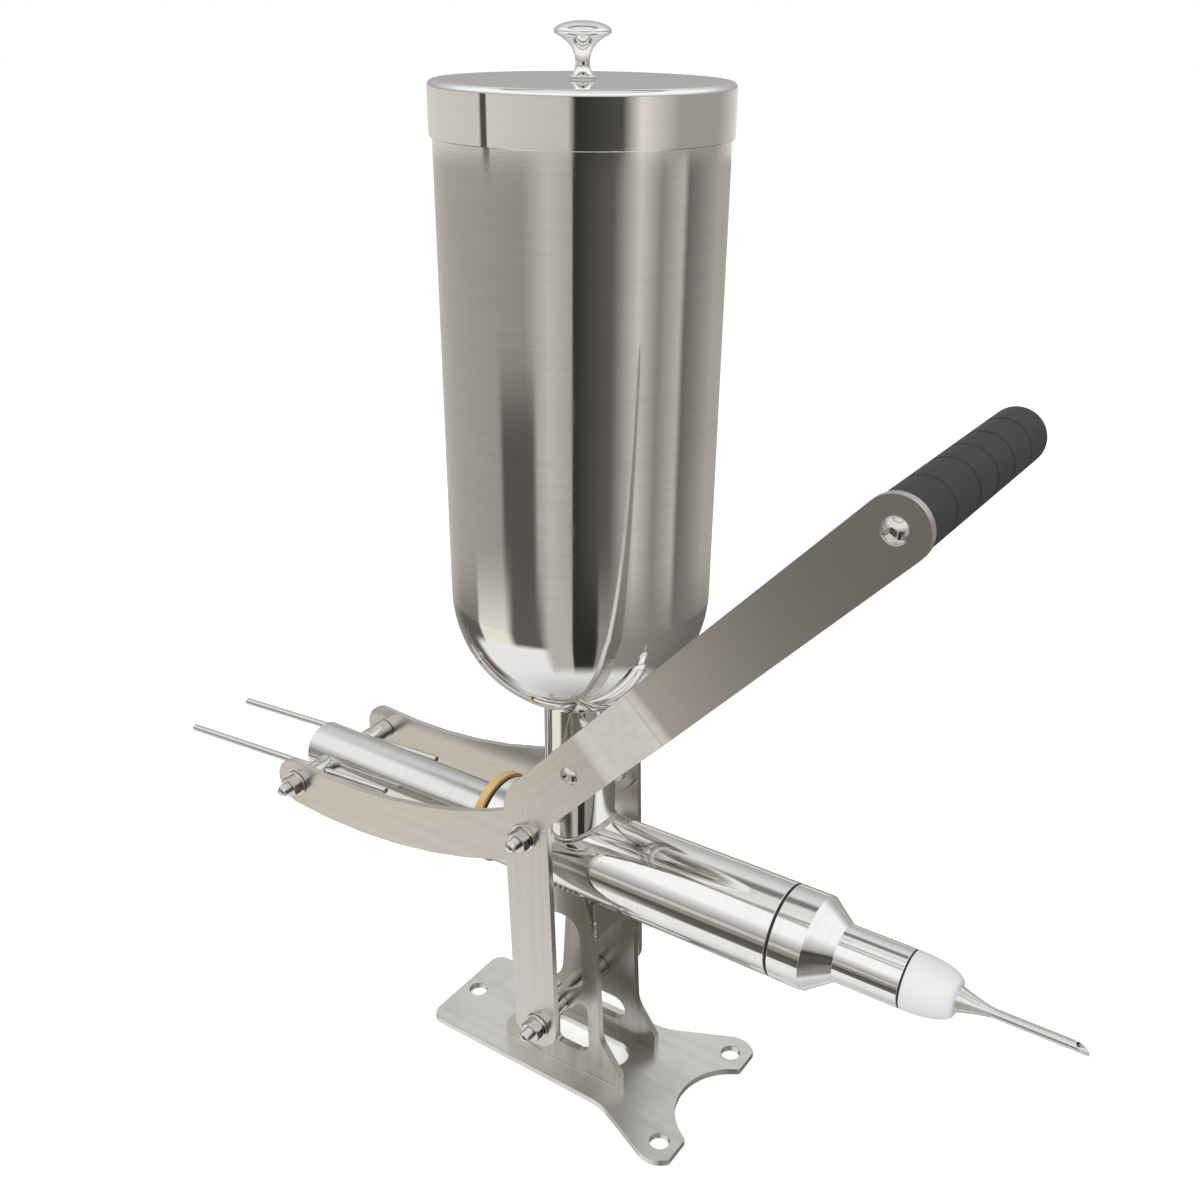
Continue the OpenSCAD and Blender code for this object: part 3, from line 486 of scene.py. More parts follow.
def handling_group():
    """Cloudy patches where hands and cloths have been."""
    group, start, end = new_group(
        "handling_marks",
        [PLACE, ("Scale", FLOAT, 20.0),
         ("Amount", FLOAT, 1.0)],
        [("Mask", FLOAT)])
    cloud = noise(group, start.outputs["Vector"], start.outputs["Scale"], 4.0, 0.62)
    spots = noise(group, start.outputs["Vector"],
                  times(group, start.outputs["Scale"], 7.0), 2.0, 0.5)
    both = times(group, remap(group, cloud, 0.4, 0.68),
                 remap(group, spots, 0.3, 0.75, 0.55, 1.0))
    feed(group, times(group, both, start.outputs["Amount"], True), end.inputs["Mask"])
    return group


def scratch_group():
    """Sparse hairline scratches lying one way."""
    group, start, end = new_group(
        "hairline_scratches",
        [PLACE, ("Stretch", VECTOR, (1, 1, 1)),
         ("Scale", FLOAT, 60.0), ("Density", FLOAT, 0.5)],
        [("Mask", FLOAT)])
    along = stretched(group, start.outputs["Vector"], start.outputs["Stretch"])
    lines = noise(group, along, start.outputs["Scale"], 1.0, 0.4)
    edge = maths(group, "ABSOLUTE", minus(group, lines, 0.5))
    hair = remap(group, edge, 0.0, 0.012, 1.0, 0.0)
    patch = noise(group, start.outputs["Vector"],
                  times(group, start.outputs["Scale"], 0.5), 2.0, 0.5)
    shown = remap(group, patch, minus(group, 1.0, start.outputs["Density"]),
                  minus(group, 1.15, start.outputs["Density"]))
    feed(group, times(group, hair, shown), end.inputs["Mask"])
    return group


SHARED = {}


def shared(name):
    """A group that more than one finish uses, built the first time it is asked for."""
    makers = {"grain": grain_group, "handling": handling_group, "scratches": scratch_group}
    if name not in SHARED:
        SHARED[name] = makers[name]()
    return SHARED[name]


class Finish:
    """A material with its Principled shader and the object's own coordinates."""

    def __init__(self, name, turn=(0, 0, 0), centre=(0, 0, 0)):
        self.material = bpy.data.materials.new(name)
        self.material.use_nodes = True
        self.tree = self.material.node_tree
        self.shader = self.tree.nodes["Principled BSDF"]
        self.own = self.tree.nodes.new("ShaderNodeTexCoord").outputs["Object"]
        self.where = self.turned_about(centre, turn)

    def turned_about(self, centre, turn):
        """The object's coordinates, measured from a centre and turned."""
        mapping = self.tree.nodes.new("ShaderNodeMapping")
        mapping.vector_type = "TEXTURE"
        mapping.inputs["Location"].default_value = centre
        mapping.inputs["Rotation"].default_value = turn
        self.tree.links.new(self.own, mapping.inputs["Vector"])
        return mapping.outputs["Vector"]

    def group(self, name, where=None, **values):
        node = self.tree.nodes.new("ShaderNodeGroup")
        node.node_tree = shared(name)
        self.tree.links.new(where or self.where, node.inputs["Vector"])
        for socket, value in values.items():
            feed(self.tree, value, node.inputs[socket.replace("_", " ")])
        return node.outputs

    def mix(self, factor, first, second):
        return colour_mix(self.tree, factor, first, second)

    def set(self, **values):
        for socket, value in values.items():
            feed(self.tree, value, self.shader.inputs[socket.replace("_", " ")])
        return self

    def bump(self, height, distance):
        node = self.tree.nodes.new("ShaderNodeBump")
        node.inputs["Distance"].default_value = distance * MM
        self.tree.links.new(height, node.inputs["Height"])
        self.tree.links.new(node.outputs["Normal"], self.shader.inputs["Normal"])
        return self


def opaque(value):
    if isinstance(value, bpy.types.NodeSocket):
        return value
    return tuple(value)[:3] + (1,)


def shade(value, share):
    """A colour made darker or lighter by a share."""
    return tuple(min(1, c * share) for c in value[:3])


def metal(name, light, dull, rough, rough_dull, stretch, scale, depth, turn=(0, 0, 0),
          handled=22.0, scratched=0.35, centre=(0, 0, 0), tone=0.45, marked=1.0, leg=None):
    """Bare metal with grain, handled patches and hairline scratches.

    A bent plate gives the turn of its leg, whose grain takes over below the elbow.
    """
    look = Finish(name, turn, centre)
    tree = look.tree
    grain = look.group("grain", Stretch=stretch, Scale=scale)
    lines, streaks = grain["Lines"], grain["Streaks"]
    if leg is not None:
        reach = tree.nodes.new("ShaderNodeSeparateXYZ")
        tree.links.new(look.where, reach.inputs[0])
        upper = remap(tree, reach.outputs["X"], -0.008, 0.02)
        lower = look.group("grain", look.turned_about(centre, leg), Stretch=stretch, Scale=scale)
        lines, streaks = (plus(tree, times(tree, first, upper),
                                times(tree, second,
                                      minus(tree, 1.0, upper)))
                          for first, second in ((lines, lower["Lines"]),
                                                (streaks, lower["Streaks"])))
    marks = look.group("handling", Scale=handled, Amount=1.0)["Mask"]
    hairs = look.group("scratches", Stretch=stretch, Scale=scale * 0.12, Density=scratched)["Mask"]
    dulled = plus(tree, times(tree, streaks, tone),
                   times(tree, marks, 0.45 * marked), True)
    look.set(Base_Color=look.mix(dulled, light, dull), Metallic=1.0)
    worn = plus(tree, times(tree, marks, 0.7 * marked),
                 times(tree, streaks, 0.3), True)
    look.set(Roughness=plus(tree, remap(tree, worn, 0.0, 1.0, rough, rough_dull),
                             times(tree, hairs, 0.03)))
    height = minus(tree, lines, times(tree, hairs, 0.3))
    return look.bump(height, depth).material


def plastic(name, light, dull, rough, rough_dull, grain_scale, depth, handled=30.0, **extra):
    """Moulded or turned plastic and rubber with a fine skin."""
    look = Finish(name)
    marks = look.group("handling", Scale=handled, Amount=1.0)["Mask"]
    skin = look.group("grain", Stretch=(1, 1, 1), Scale=grain_scale)
    look.set(Base_Color=look.mix(marks, light, dull), Metallic=0.0)
    look.set(Roughness=remap(look.tree, marks, 0.0, 1.0, rough, rough_dull), **extra)
    return look.bump(skin["Lines"], depth).material


MADE = {}


def material(name):
    """A finish by name, made the first time it is asked for."""
    if name in MADE:
        return MADE[name]
    hue = colours()
    along_x, along_z = (0.02, 1, 1), (1, 1, 0.02)
    makers = {
        "plate_arm": lambda: metal("brushed_arm_plate", hue.satin, hue.satin_low, 0.25, 0.30,
                                   along_x, 2400.0, 0.003, turn=(0, -arm_angle(), 0),
                                   centre=elbow(), scratched=0.0, tone=0.3, marked=0.25,
                                   leg=(0, -leg_angle(), 0)),
        "plate_long": lambda: metal("brushed_link_plate", hue.satin, hue.satin_low, 0.25, 0.30,
                                    along_x, 2000.0, 0.003, scratched=0.0, tone=0.3,
                                    marked=0.25),
        "plate_up": lambda: metal("brushed_upright_plate", hue.upright, shade(hue.upright, 0.8),
                                  0.28, 0.38, along_z, 1600.0, 0.006, tone=0.4),
        # Far upright: the upright colour darkened as painted shade, standing for the shadow cast by
        # the near upright and the barrel
        "plate_far_painted_shade": lambda: metal("brushed_far_plate_painted_shade", shade(hue.upright, 0.72),
                                   shade(hue.upright, 0.55), 0.28, 0.38, along_z, 1600.0, 0.006,
                                   tone=0.4),
        "plate_base": lambda: metal("brushed_base_plate", hue.base, shade(hue.base, 0.9),
                                    0.30, 0.42, along_x, 1000.0, 0.01, scratched=0.5),
        "mirror": lambda: metal("mirror_steel", hue.polished, shade(hue.polished, 0.96),
                                0.02, 0.05, (1, 1, 30), 60.0, 0.0002, handled=14.0,
                                scratched=0.2),
        "polished": lambda: metal("polished_hopper_steel", shade(hue.polished, 0.98),
                                  shade(hue.polished, 0.90), 0.05, 0.10, (1, 1, 40), 60.0,
                                  0.0012, handled=12.0, scratched=0.3),
        "turned": lambda: metal("turned_steel", hue.polished, shade(hue.polished, 0.92),
                                0.06, 0.10, (40, 1, 1), 70.0, 0.0012, handled=16.0),
        "turned_up": lambda: metal("neck_steel", hue.polished, shade(hue.polished, 0.92),
                                   0.06, 0.10, (1, 1, 40), 70.0, 0.0012, handled=16.0),
        "needle": lambda: metal("needle_steel", shade(hue.polished, 0.87),
                                shade(hue.polished, 0.77), 0.10, 0.18, (60, 1, 1), 60.0, 0.001,
                                handled=40.0),
        "plunger": lambda: metal("plunger_steel", shade(hue.polished, 0.86),
                                 shade(hue.polished, 0.78), 0.12, 0.18, (40, 1, 1), 70.0, 0.001,
                                 handled=16.0),
        "rod": lambda: metal("stop_rod_steel", shade(hue.polished, 0.80),
                             shade(hue.polished, 0.72), 0.05, 0.10, (1, 60, 60), 40.0, 0.0008,
                             handled=40.0, scratched=0.2),
        "plated": lambda: metal("plated_steel", hue.plated, shade(hue.plated, 0.68),
                                0.03, 0.08, (1, 1, 1), 400.0, 0.0012, handled=90.0),
        "weld": lambda: metal("weld_bead", shade(hue.satin, 0.95), shade(hue.satin, 0.55),
                              0.16, 0.3, (1, 1, 1), 500.0, 0.03, handled=120.0),
        "bush": lambda: plastic("tan_bush", hue.bush, shade(hue.bush, 0.8), 0.34, 0.45,
                                1200.0, 0.01),
        "seal": lambda: plastic("seal_rubber", hue.seal, shade(hue.seal, 1.6), 0.5, 0.6,
                                900.0, 0.01),
        "holder": lambda: plastic("white_holder", hue.holder, shade(hue.holder, 0.985), 0.28, 0.31,
                                  700.0, 0.001, Subsurface_Weight=0.15, Subsurface_Scale=0.004),
        "grip": lambda: plastic("grip_rubber", hue.grip, shade(hue.grip, 1.7), 0.55, 0.68,
                                1500.0, 0.03, handled=45.0),
    }
    MADE[name] = makers[name]()
    return MADE[name]


# ---- the lever's lines, worked out from the frame ----------------------------------


def arm_angle():
    """Rise of the arm, from the cross bar to the grip."""
    return atan2(GRIP.z - CROSS_BAR.z, GRIP.x - CROSS_BAR.x)


def leg_angle():
    """Fall of the leg, from the elbow to the axle."""
    return atan2(AXLE.z - elbow().z / MM, AXLE.x - elbow().x / MM)


def elbow():
    """Where the leg's line meets the arm's, in metres."""
    along = Vector((cos(arm_angle()), 0, sin(arm_angle())))
    return (CROSS_BAR - BAR_REACH * along) * MM


# ---- fasteners ----------------------------------------------------------------------


def washer(bm, bore_r, r, low, high, axis, at, edge=0.35):
    outline = eased([(bore_r, low), (r, low, edge), (r, high, edge), (bore_r, high)])
    turned(bm, outline, axis, at, sizes().small_steps, ring=True)


def hexagon(height, bore_r, domed=False):
    """A nut or bolt head standing on z = 0, with its corners chamfered."""
    half = sizes().nut_af / 2
    corner = half / cos(pi / 6)
    cut = 0.95
    top_cut, rise = (1.3, 1.6) if domed else (cut, 0.3)
    hexagonal = bmesh.new()
    prism(hexagonal, corner, 0, height, 6)
    outline = [(half - 0.2, 0), (corner + 0.1, cut), (corner + 0.1, height - top_cut),
               (half - rise, height)]
    if bore_r:
        outline = [(bore_r + 0.5, 0)] + outline + [(bore_r + 0.5, height), (bore_r, height - 0.5),
                                                   (bore_r, 0.5)]
    else:
        outline = [(0, 0)] + outline + [(0, height)]
    body = bmesh.new()
    turned(body, outline, steps=60, ring=bool(bore_r))
    bm = joined(hexagonal, body, "INTERSECT")
    soften(bm, 0.16, 2, 25)
    return bm


def stamp(bm, pattern, axis, at):
    """Adds a copy of a pattern bmesh, standing on its axis."""
    mesh = bpy.data.meshes.new("pattern")
    pattern.to_mesh(mesh)
    known = set(bm.verts)
    bm.from_mesh(mesh)
    bpy.data.meshes.remove(mesh)
    placed(bm, [v for v in bm.verts if v not in known], axis, at)


def both_sides(point, y):
    """The two places at a distance from the middle plane, with the way that each faces."""
    return (("Y", (point.x, y, point.z)), ("-Y", (point.x, -y, point.z)))


def nuts(name, node, body):
    """Hexagon nuts on both sides."""
    nut = hexagon(NUT_H, BOLT_R - 0.35)
    bm = bmesh.new()
    for axis, at in both_sides(middle(node), span(node)[1].y - NUT_H):
        stamp(bm, nut, axis, at)
    nut.free()
    return finish(name, bm, material("plated"), body, [node], 25)


def washers(name, node, body):
    """Flat washers on both sides."""
    bm = bmesh.new()
    for axis, at in both_sides(middle(node), span(node)[1].y - WASHER_T):
        washer(bm, BOLT_R + 0.1, radius(node), 0, WASHER_T, axis, at)
    return finish(name, bm, material("plated"), body, [node], 25)


def rod_end(r, nut_y, end_y):
    """Outline of a threaded rod's end: plain up to the nut, then thread and a domed tip."""
    tip = r - 1.1
    return [(r, nut_y - 1.0)] + threads(r, nut_y - 0.5, end_y - 1.6) + [(tip + 0.4, end_y - 1.2),
                                                                       (tip, end_y - 0.4),
                                                                       (tip - 1.2, end_y),
                                                                       (0, end_y)]


def button(d, h, socket, socket_depth, steps):
    """Button head standing on z = 0 with a hexagon socket."""
    r = (d * d / 4 + h * h) / (2 * h)
    rim = asin(min(1, d / 2 / r))
    dome = [(r * sin(rim * (1 - i / 12)), h - r + r * cos(rim * (1 - i / 12)))
            for i in range(13)]
    head = bmesh.new()
    turned(head, [(0, 0), (d / 2 - 0.15, 0)] + dome, steps=steps)
    cutter = bmesh.new()
    prism(cutter, socket / 2 / cos(pi / 6), h - socket_depth, h + 2, 6)
    bm = joined(head, cutter, "DIFFERENCE")
    soften(bm, 0.14, 2, 35)
    return bm


# ---- operators -----------------------------------------------------------------------


class FillerOperator(bpy.types.Operator):
    """Shared by the steps below."""

    bl_options = {"REGISTER"}

    def execute(self, context):
        self.build()
        return {"FINISHED"}


class FILLER_OT_hopper(FillerOperator):
    """Open hopper with its round bowl, and the neck below it"""

    bl_idname = "filler.hopper"
    bl_label = "Hopper"

    def build(self):
        r, rim_z, lip = HOPPER_R, HOPPER_HIGH.z, 0.4
        bowl_z = HOPPER_LOW.z + sqrt(r * r - NECK_R * NECK_R)
        start = degrees(asin(NECK_R / r))

        def bowl(bowl_r, first, last, count=28):
            angles = [radians(first + (last - first) * i / count) for i in range(count + 1)]
            return [(bowl_r * sin(a), bowl_z - bowl_r * cos(a)) for a in angles]

        outline = bowl(r, start, 90) + [(r, rim_z - lip), (r - lip, rim_z)]
        outline += [(r - HOPPER_WALL + lip, rim_z), (r - HOPPER_WALL, rim_z - lip)]
        outline += bowl(r - HOPPER_WALL, 90, start)
        lathe("hopper_bowl", "hopper_shell", outline, "polished")

        low, high = span("hopper_neck")
        lathe("neck_tube", "hopper_neck",
              [(NECK_BORE_R, low.z), (NECK_R, low.z), (NECK_R, high.z), (NECK_BORE_R, high.z)],
              "turned_up")


class FILLER_OT_lid(FillerOperator):
    """Mirror-polished lid with its knob and screw"""

    bl_idname = "filler.lid"
    bl_label = "Lid"

    def build(self):
        low, high = span("lid_cap")
        r, edge, lip, hole_r = radius("lid_cap"), 3, 0.4, 2.6
        under = high.z - LID_WALL
        outline = [(hole_r, under), (r - LID_WALL, under, edge - LID_WALL),
                   (r - LID_WALL, low.z + 0.3), (r - LID_WALL + 0.3, low.z), (r - lip, low.z),
                   (r, low.z + lip), (r, high.z, edge), (hole_r, high.z)]
        lathe("lid_pressing", "lid_cap", eased(outline), "mirror", "lid")
        self.knob()

        screw_r = 2.4
        top = span("knob_screw")[1].z
        bm = bmesh.new()
        turned(bm, [(0, under), (screw_r, under), (screw_r, top), (0, top)], steps=24)
        head = button(10, 2.6, 3, 1.4, 36)
        stamp(bm, head, "-Z", (0, 0, under))
        head.free()
        finish("knob_screw_head", bm, material("plated"), "lid", ["knob_screw"], 30)

    def knob(self):
        """Collar, thin waist, flare and crown of the knob, from below."""
        low, high = span("lid_knob")
        base, head = low.z, radius("lid_knob")
        collar, waist, height = 7.0, 3.65, high.z - base
        neck, flare = height * 0.25, height * 0.78
        crown = flare + 0.9
        points = [(0, base), (collar, base, 0.3), (collar, base + 1.5, 0.5)]
        points += [(waist + (collar - 1 - waist) * (1 - i / 8) ** 2,
                    base + 1.8 + i / 8 * (neck - 1.8)) for i in range(9)]
        points += [(waist + (head - 0.5 - waist) * (i / 18) ** 2.9,
                    base + neck + i / 18 * (flare - neck)) for i in range(1, 19)]
        points += [(head * cos(a), base + crown + (height - crown) * sin(a))
                   for a in (radians(90 * i / 14) for i in range(15))]
        lathe("knob_turning", "lid_knob", eased(points), "mirror", "lid", steps=72, ring=False,
              sharp=50)


class FILLER_OT_barrel(FillerOperator):
    """Barrel, guide bush, seals and liner"""

    bl_idname = "filler.barrel"
    bl_label = "Barrel"

    def build(self):
        edge = sizes().turned_edge
        inner = BARREL_R - BARREL_WALL
        low, high = BARREL_LOW.x, BARREL_HIGH.x
        tube = bmesh.new()
        turned(tube, eased([(inner, low), (BARREL_R, low, edge), (BARREL_R, high, edge),
                            (inner, high)]), "X", BARREL_AXIS, sizes().fine_steps, ring=True)
        port = bmesh.new()
        prism(port, NECK_BORE_R, 0, BARREL_R + 6, 96, "Z", BARREL_AXIS)
        bm = joined(tube, port, "DIFFERENCE")
        finish("barrel_body", bm, material("turned"), "frame", ["barrel_tube"])

        low, high = span("guide_bush")
        flange_r = radius("guide_bush", "y")
        bore, funnel = PLUNGER_R + 0.08, 1.2
        face = span("bush_seal_ring")[0].x - 0.1
        outline = [(bore, low.x + funnel), (bore + funnel, low.x), (flange_r, low.x, 0.9),
                   (flange_r, face, 0.7), (inner - 0.1, face), (inner - 0.1, high.x),
                   (bore, high.x)]
        along_barrel("bush_turning", "guide_bush", eased(outline), "bush")

        for name, node, bore, bulge in (("bush_gasket", "bush_seal_ring", inner, 0.3),
                                        ("front_gasket", "front_seal_ring", inner, 0.25),
                                        ("holder_gasket", "holder_seal_ring", 13.9, 0.2)):
            along_barrel(name, node, sleeve_outline(node, bore, bulge), "seal")
        along_barrel("liner_turning", "dosing_liner",
                     sleeve_outline("dosing_liner", LINER_BORE_R, edge), "holder")


class FILLER_OT_nose(FillerOperator):
    """Stepped nose, white holder and slanted needle"""

    bl_idname = "filler.nose"
    bl_label = "Nose and needle"

    def build(self):
        edge = sizes().turned_edge
        low, high = span("nose_cone")
        seal = span("front_seal_ring")[1].x
        slim_r = radius("holder_seal_ring", "y") + 0.3
        wide_end, cone_end = seal + 20, seal + 35.8
        funnel, spigot = 14, BARREL_R - 2.7
        outline = [(LINER_BORE_R, low.x), (spigot, low.x), (spigot, seal), (BARREL_R, seal, edge),
                   (BARREL_R, wide_end, edge * 1.4), (slim_r, cone_end, 1.2),
                   (slim_r, high.x, edge), (funnel, high.x), (funnel, cone_end),
                   (LINER_BORE_R, seal + 4)]
        along_barrel("nose_turning", "nose_cone", eased(outline), "turned")
        self.holder(slim_r)
        self.needle()

    def holder(self, slim_r, count=26):
        """White holder, from the spigot in the nose to its rounded face."""
        low, high = span("needle_holder")
        start = span("holder_seal_ring")[1].x
        passage, spigot, shoulder, rim = 2.5, 13.8, 0.3, 0.985
        face_r, length = 10.2, high.x - start
        outline = [(passage, low.x), (spigot, low.x), (spigot, start), (slim_r - 0.4, start)]
        for i in range(count + 1):
            u = rim * (i / count) ** 0.8
            r = face_r - 0.6 + (slim_r - face_r + 0.6) * (1 - u ** 2.1) ** 0.5
            outline.append((r, start + shoulder + u * (length - shoulder)))
        socket = radius("filling_needle", "y") + 0.1
        outline += [(socket, high.x), (socket, high.x - 6), (passage, high.x - 6)]
        along_barrel("holder_moulding", "needle_holder", outline, "holder", sharp=40)

    def needle(self):
        """Flared tube, cut at a slant."""
        low, high = span("filling_needle")
        socket, r, wall = radius("filling_needle", "y"), 2.85, 0.6
        face, flare_length = span("needle_holder")[1].x, 22
        tube = face + flare_length
        flare = [(r + (socket - r) * (1 - i / flare_length) ** 1.5, face + i)
                 for i in range(flare_length + 1)]
        hollow = [(max(r - wall, x - 1.2), y) for x, y in reversed(flare)]
        outline = [(socket - 1.2, low.x), (socket, low.x)] + flare
        outline += [(r, tube + 12), (r, tube + 28), (r, high.x), (r - wall, high.x),
                    (r - wall, tube + 20)] + hollow
        body = bmesh.new()
        turned(body, outline, "X", BARREL_AXIS, 64, ring=True)
        slant_length = 9
        slope = atan2(2 * r, slant_length)
        bmesh.ops.bisect_plane(body, geom=body.verts[:] + body.edges[:] + body.faces[:],
                               plane_co=BARREL_AXIS + Vector((high.x, 0, -r)),
                               plane_no=(sin(slope), 0, cos(slope)), clear_outer=True)
        bmesh.ops.bridge_loops(body, edges=[e for e in body.edges if e.is_boundary])
        finish("needle_tube", body, material("needle"), "frame", ["filling_needle"], 28)


class FILLER_OT_base(FillerOperator):
    """Base plate, uprights, web and sleeve"""

    bl_idname = "filler.base"
    bl_label = "Base and uprights"

    def build(self):
        for name, node, look in (("base_sheet", "base_plate", "plate_base"),
                                 ("near_upright_sheet", "upright_near", "plate_up"),
                                 # the far upright takes the copy with painted shade
                                 ("far_upright_sheet", "upright_far", "plate_far_painted_shade"),
                                 ("web_sheet", "front_web", "plate_up")):
            sheet(name, node, look, "frame")
        low, high = span("axle_sleeve")
        bm = bmesh.new()
        washer(bm, AXLE_BORE_R, radius("axle_sleeve"), low.y, high.y, "Y", (AXLE.x, 0, AXLE.z),
               0.6)
        finish("sleeve_tube", bm, material("plate_up"), "frame", ["axle_sleeve"])
        outer = span("axle_spacers")[1].y
        start = span("upright_near")[0].y
        bm = bmesh.new()
        for axis, at in both_sides(AXLE, 0):
            washer(bm, AXLE_BORE_R, radius("axle_spacers"), -start + 0.1, outer, axis, at, 0.6)
        finish("spacer_tubes", bm, material("plated"), "frame", ["axle_spacers"])


class FILLER_OT_welds(FillerOperator):
    """Weld beads at the neck, the uprights and the web"""

    bl_idname = "filler.welds"
    bl_label = "Weld beads"

    step = 0.8
    top_half = 17.5
    foot_start, foot_end = 3, 30

    def build(self):
        bead = sizes().weld_r
        count = 240
        round_neck = [2 * pi * i / count for i in range(count)]
        saddle = []
        for a in round_neck:
            y = (NECK_R + 0.3) * sin(a)
            z = sqrt((BARREL_R + 0.3) ** 2 - y * y)
            saddle.append(((NECK_R + 0.3) * cos(a), y, BARREL_Z + z))
        self.bead("neck_weld", saddle, bead, True, 0.12)
        ring = [((NECK_R + 0.1) * cos(a), (NECK_R + 0.1) * sin(a), HOPPER_LOW.z)
                for a in round_neck]
        self.bead("bowl_weld", ring, bead * 0.8, True, 0.1)
        for side, name in SIDES:
            low, high = span("upright_" + name)
            for part, face, ripple in (("top", UPRIGHT_OUTER, 0.25), ("inner", UPRIGHT_INNER, 0.3)):
                y = side * face
                z = BARREL_Z - sqrt(BARREL_R ** 2 - y * y)
                line = [(AXLE.x + x, y, z) for x in steps(-self.top_half, self.top_half, self.step)]
                self.bead("%s_%s_weld" % (name, part), line, bead * 0.9, False, ripple)
            base_top = span("base_plate")[1].z
            for part, start, end in (
                    ("rear", low.x + self.foot_start, low.x + self.foot_end),
                    ("front", high.x - self.foot_end, high.x - self.foot_start)):
                line = [(x, side * UPRIGHT_OUTER, base_top) for x in steps(start, end, self.step)]
                self.bead("%s_foot_weld_%s" % (name, part), line, bead * 0.7, False, 0.25)
        low, high = span("front_web")
        for side, name in SIDES:
            for part, x, top in (("web", low.x - 0.2, 20), ("web_front", high.x + 0.2, 17)):
                line = [(x, side * WEB_HALF, z)
                        for z in steps(low.z + 2, low.z + top, self.step)]
                self.bead("%s_%s_weld" % (name, part), line, bead, False, 0.35)

    def bead(self, name, points, r, closed, ripple):
        """A rippled bead along a path."""
        curve = bpy.data.curves.new(name, "CURVE")
        curve.dimensions = "3D"
        curve.bevel_depth = r * MM
        curve.bevel_resolution = 3
        curve.use_fill_caps = not closed
        line = curve.splines.new("POLY")
        line.points.add(len(points) - 1)
        for i, (point, place) in enumerate(zip(line.points, points)):
            point.co = tuple(c * MM for c in place) + (1,)
            taper = 1 if closed else min(1, 0.45 + 0.2 * min(i, len(points) - 1 - i))
            point.radius = taper * (1 + ripple * sin(i * 1.3) * 0.5)
        line.use_cyclic_u = closed
        obj = bpy.data.objects.new(name, curve)
        bpy.context.scene.collection.objects.link(obj)
        graph = bpy.context.evaluated_depsgraph_get()
        bm = bmesh.new()
        bm.from_mesh(obj.evaluated_get(graph).to_mesh())
        bpy.data.objects.remove(obj)
        bmesh.ops.scale(bm, vec=(1 / MM,) * 3, verts=bm.verts)
        bmesh.ops.remove_doubles(bm, verts=bm.verts, dist=WELD_GAP)
        piece = finish(name, bm, material("weld"), "frame", sharp=60)


class FILLER_OT_lever(FillerOperator):
    """Bent near plate, far plate, cross bar and their screws"""

    bl_idname = "filler.lever"
    bl_label = "Lever"

    arm_inner_y = -48.5
    bend_start, bend_length, bend_ease = 75.0, 59.0, 9.0

    def build(self):
        sheet("near_lever_sheet", "lever_near", "plate_arm", "lever", self.ease_bend)
        sheet("far_lever_sheet", "lever_far", "plate_arm", "lever")
        round_bar("crossbar_rod", "lever_crossbar", "lever", CROSS_BAR)
        head_h = 3.3
        head = button(2 * radius("crossbar_screws"), head_h, 4, 2.0, 48)
        bm = bmesh.new()
        for axis, at in both_sides(CROSS_BAR, span("crossbar_screws")[1].y - head_h):
            stamp(bm, head, axis, at)
        head.free()
        finish("crossbar_screw_heads", bm, material("plated"), "lever", ["crossbar_screws"], 30)

    def ease_bend(self, bm):
        """Turns the two creases of the arm into bends with a real radius."""
        drop = self.arm_inner_y - (span("lever_near")[0].y + PLATE_T)
        along = Vector((cos(arm_angle()), 0, sin(arm_angle())))
        bend_zero = elbow() / MM
        start, ease = self.bend_start, self.bend_ease
        end = start + self.bend_length
        slope = drop / self.bend_length
        for at in [crease + d for crease in (start, end) for d in steps(-ease, ease, 1.5)]:
            bmesh.ops.bisect_plane(bm, geom=bm.verts[:] + bm.edges[:] + bm.faces[:],
                                   plane_co=bend_zero + at * along, plane_no=along, dist=0.01)

        def rounding(distance):
            """How far the rounded line lies inside a crease at a distance from it."""
            return slope * max(0, ease - abs(distance)) ** 2 / (4 * ease)

        for vert in bm.verts:
            reach = (vert.co - bend_zero).dot(along)
            if reach > 0:
                vert.co.y += rounding(reach - end) - rounding(reach - start)


class FILLER_OT_grip(FillerOperator):
    """Grooved grip with its core and end screw"""

    bl_idname = "filler.grip"
    bl_label = "Grip"

    bore_r = 7.1
    end_wall = 9.8
    groove_places = (28.5, 59, 83.5, 107.5, 134.5)

    def build(self):
        low, high = span("grip_sleeve")
        r, length = radius("grip_sleeve"), high.y - low.y
        width, depth = sizes().groove_w, sizes().groove_depth
        outline = [(self.bore_r, 0), (r - 0.8, 0), (r, 0.8, 0.5)]
        for at in self.groove_places:
            outline += [(r, at - width / 2 - 0.5, 0.5), (r - depth, at - width / 4, 0.35),
                        (r - depth, at + width / 4, 0.35), (r, at + width / 2 + 0.5, 0.5)]
        outline += [(r, length, 3), (0, length), (0, length - self.end_wall),
                    (self.bore_r, length - self.end_wall)]
        sleeve = lathe("grip_turning", "grip_sleeve", eased(outline), "grip", "lever", "Y",
                       (GRIP.x, low.y, GRIP.z), 96, sharp=45)
        core = round_bar("grip_core_rod", "grip_core", "lever", GRIP)
        sleeve.visible_glossy = core.visible_glossy = False

        head_h = 4.4
        head = button(2 * radius("grip_screw"), head_h, 5, 2.6, 60)
        bm = bmesh.new()
        stamp(bm, head, "-Y", (GRIP.x, span("grip_screw")[0].y + head_h, GRIP.z))
        head.free()
        finish("grip_screw_head", bm, material("plated"), "lever", ["grip_screw"], 30)


class FILLER_OT_links(FillerOperator):
    """Curved links"""

    bl_idname = "filler.links"
    bl_label = "Links"

    def build(self):
        for _, name in SIDES:
            sheet(name + "_link_sheet", "link_" + name, "plate_long", "links")


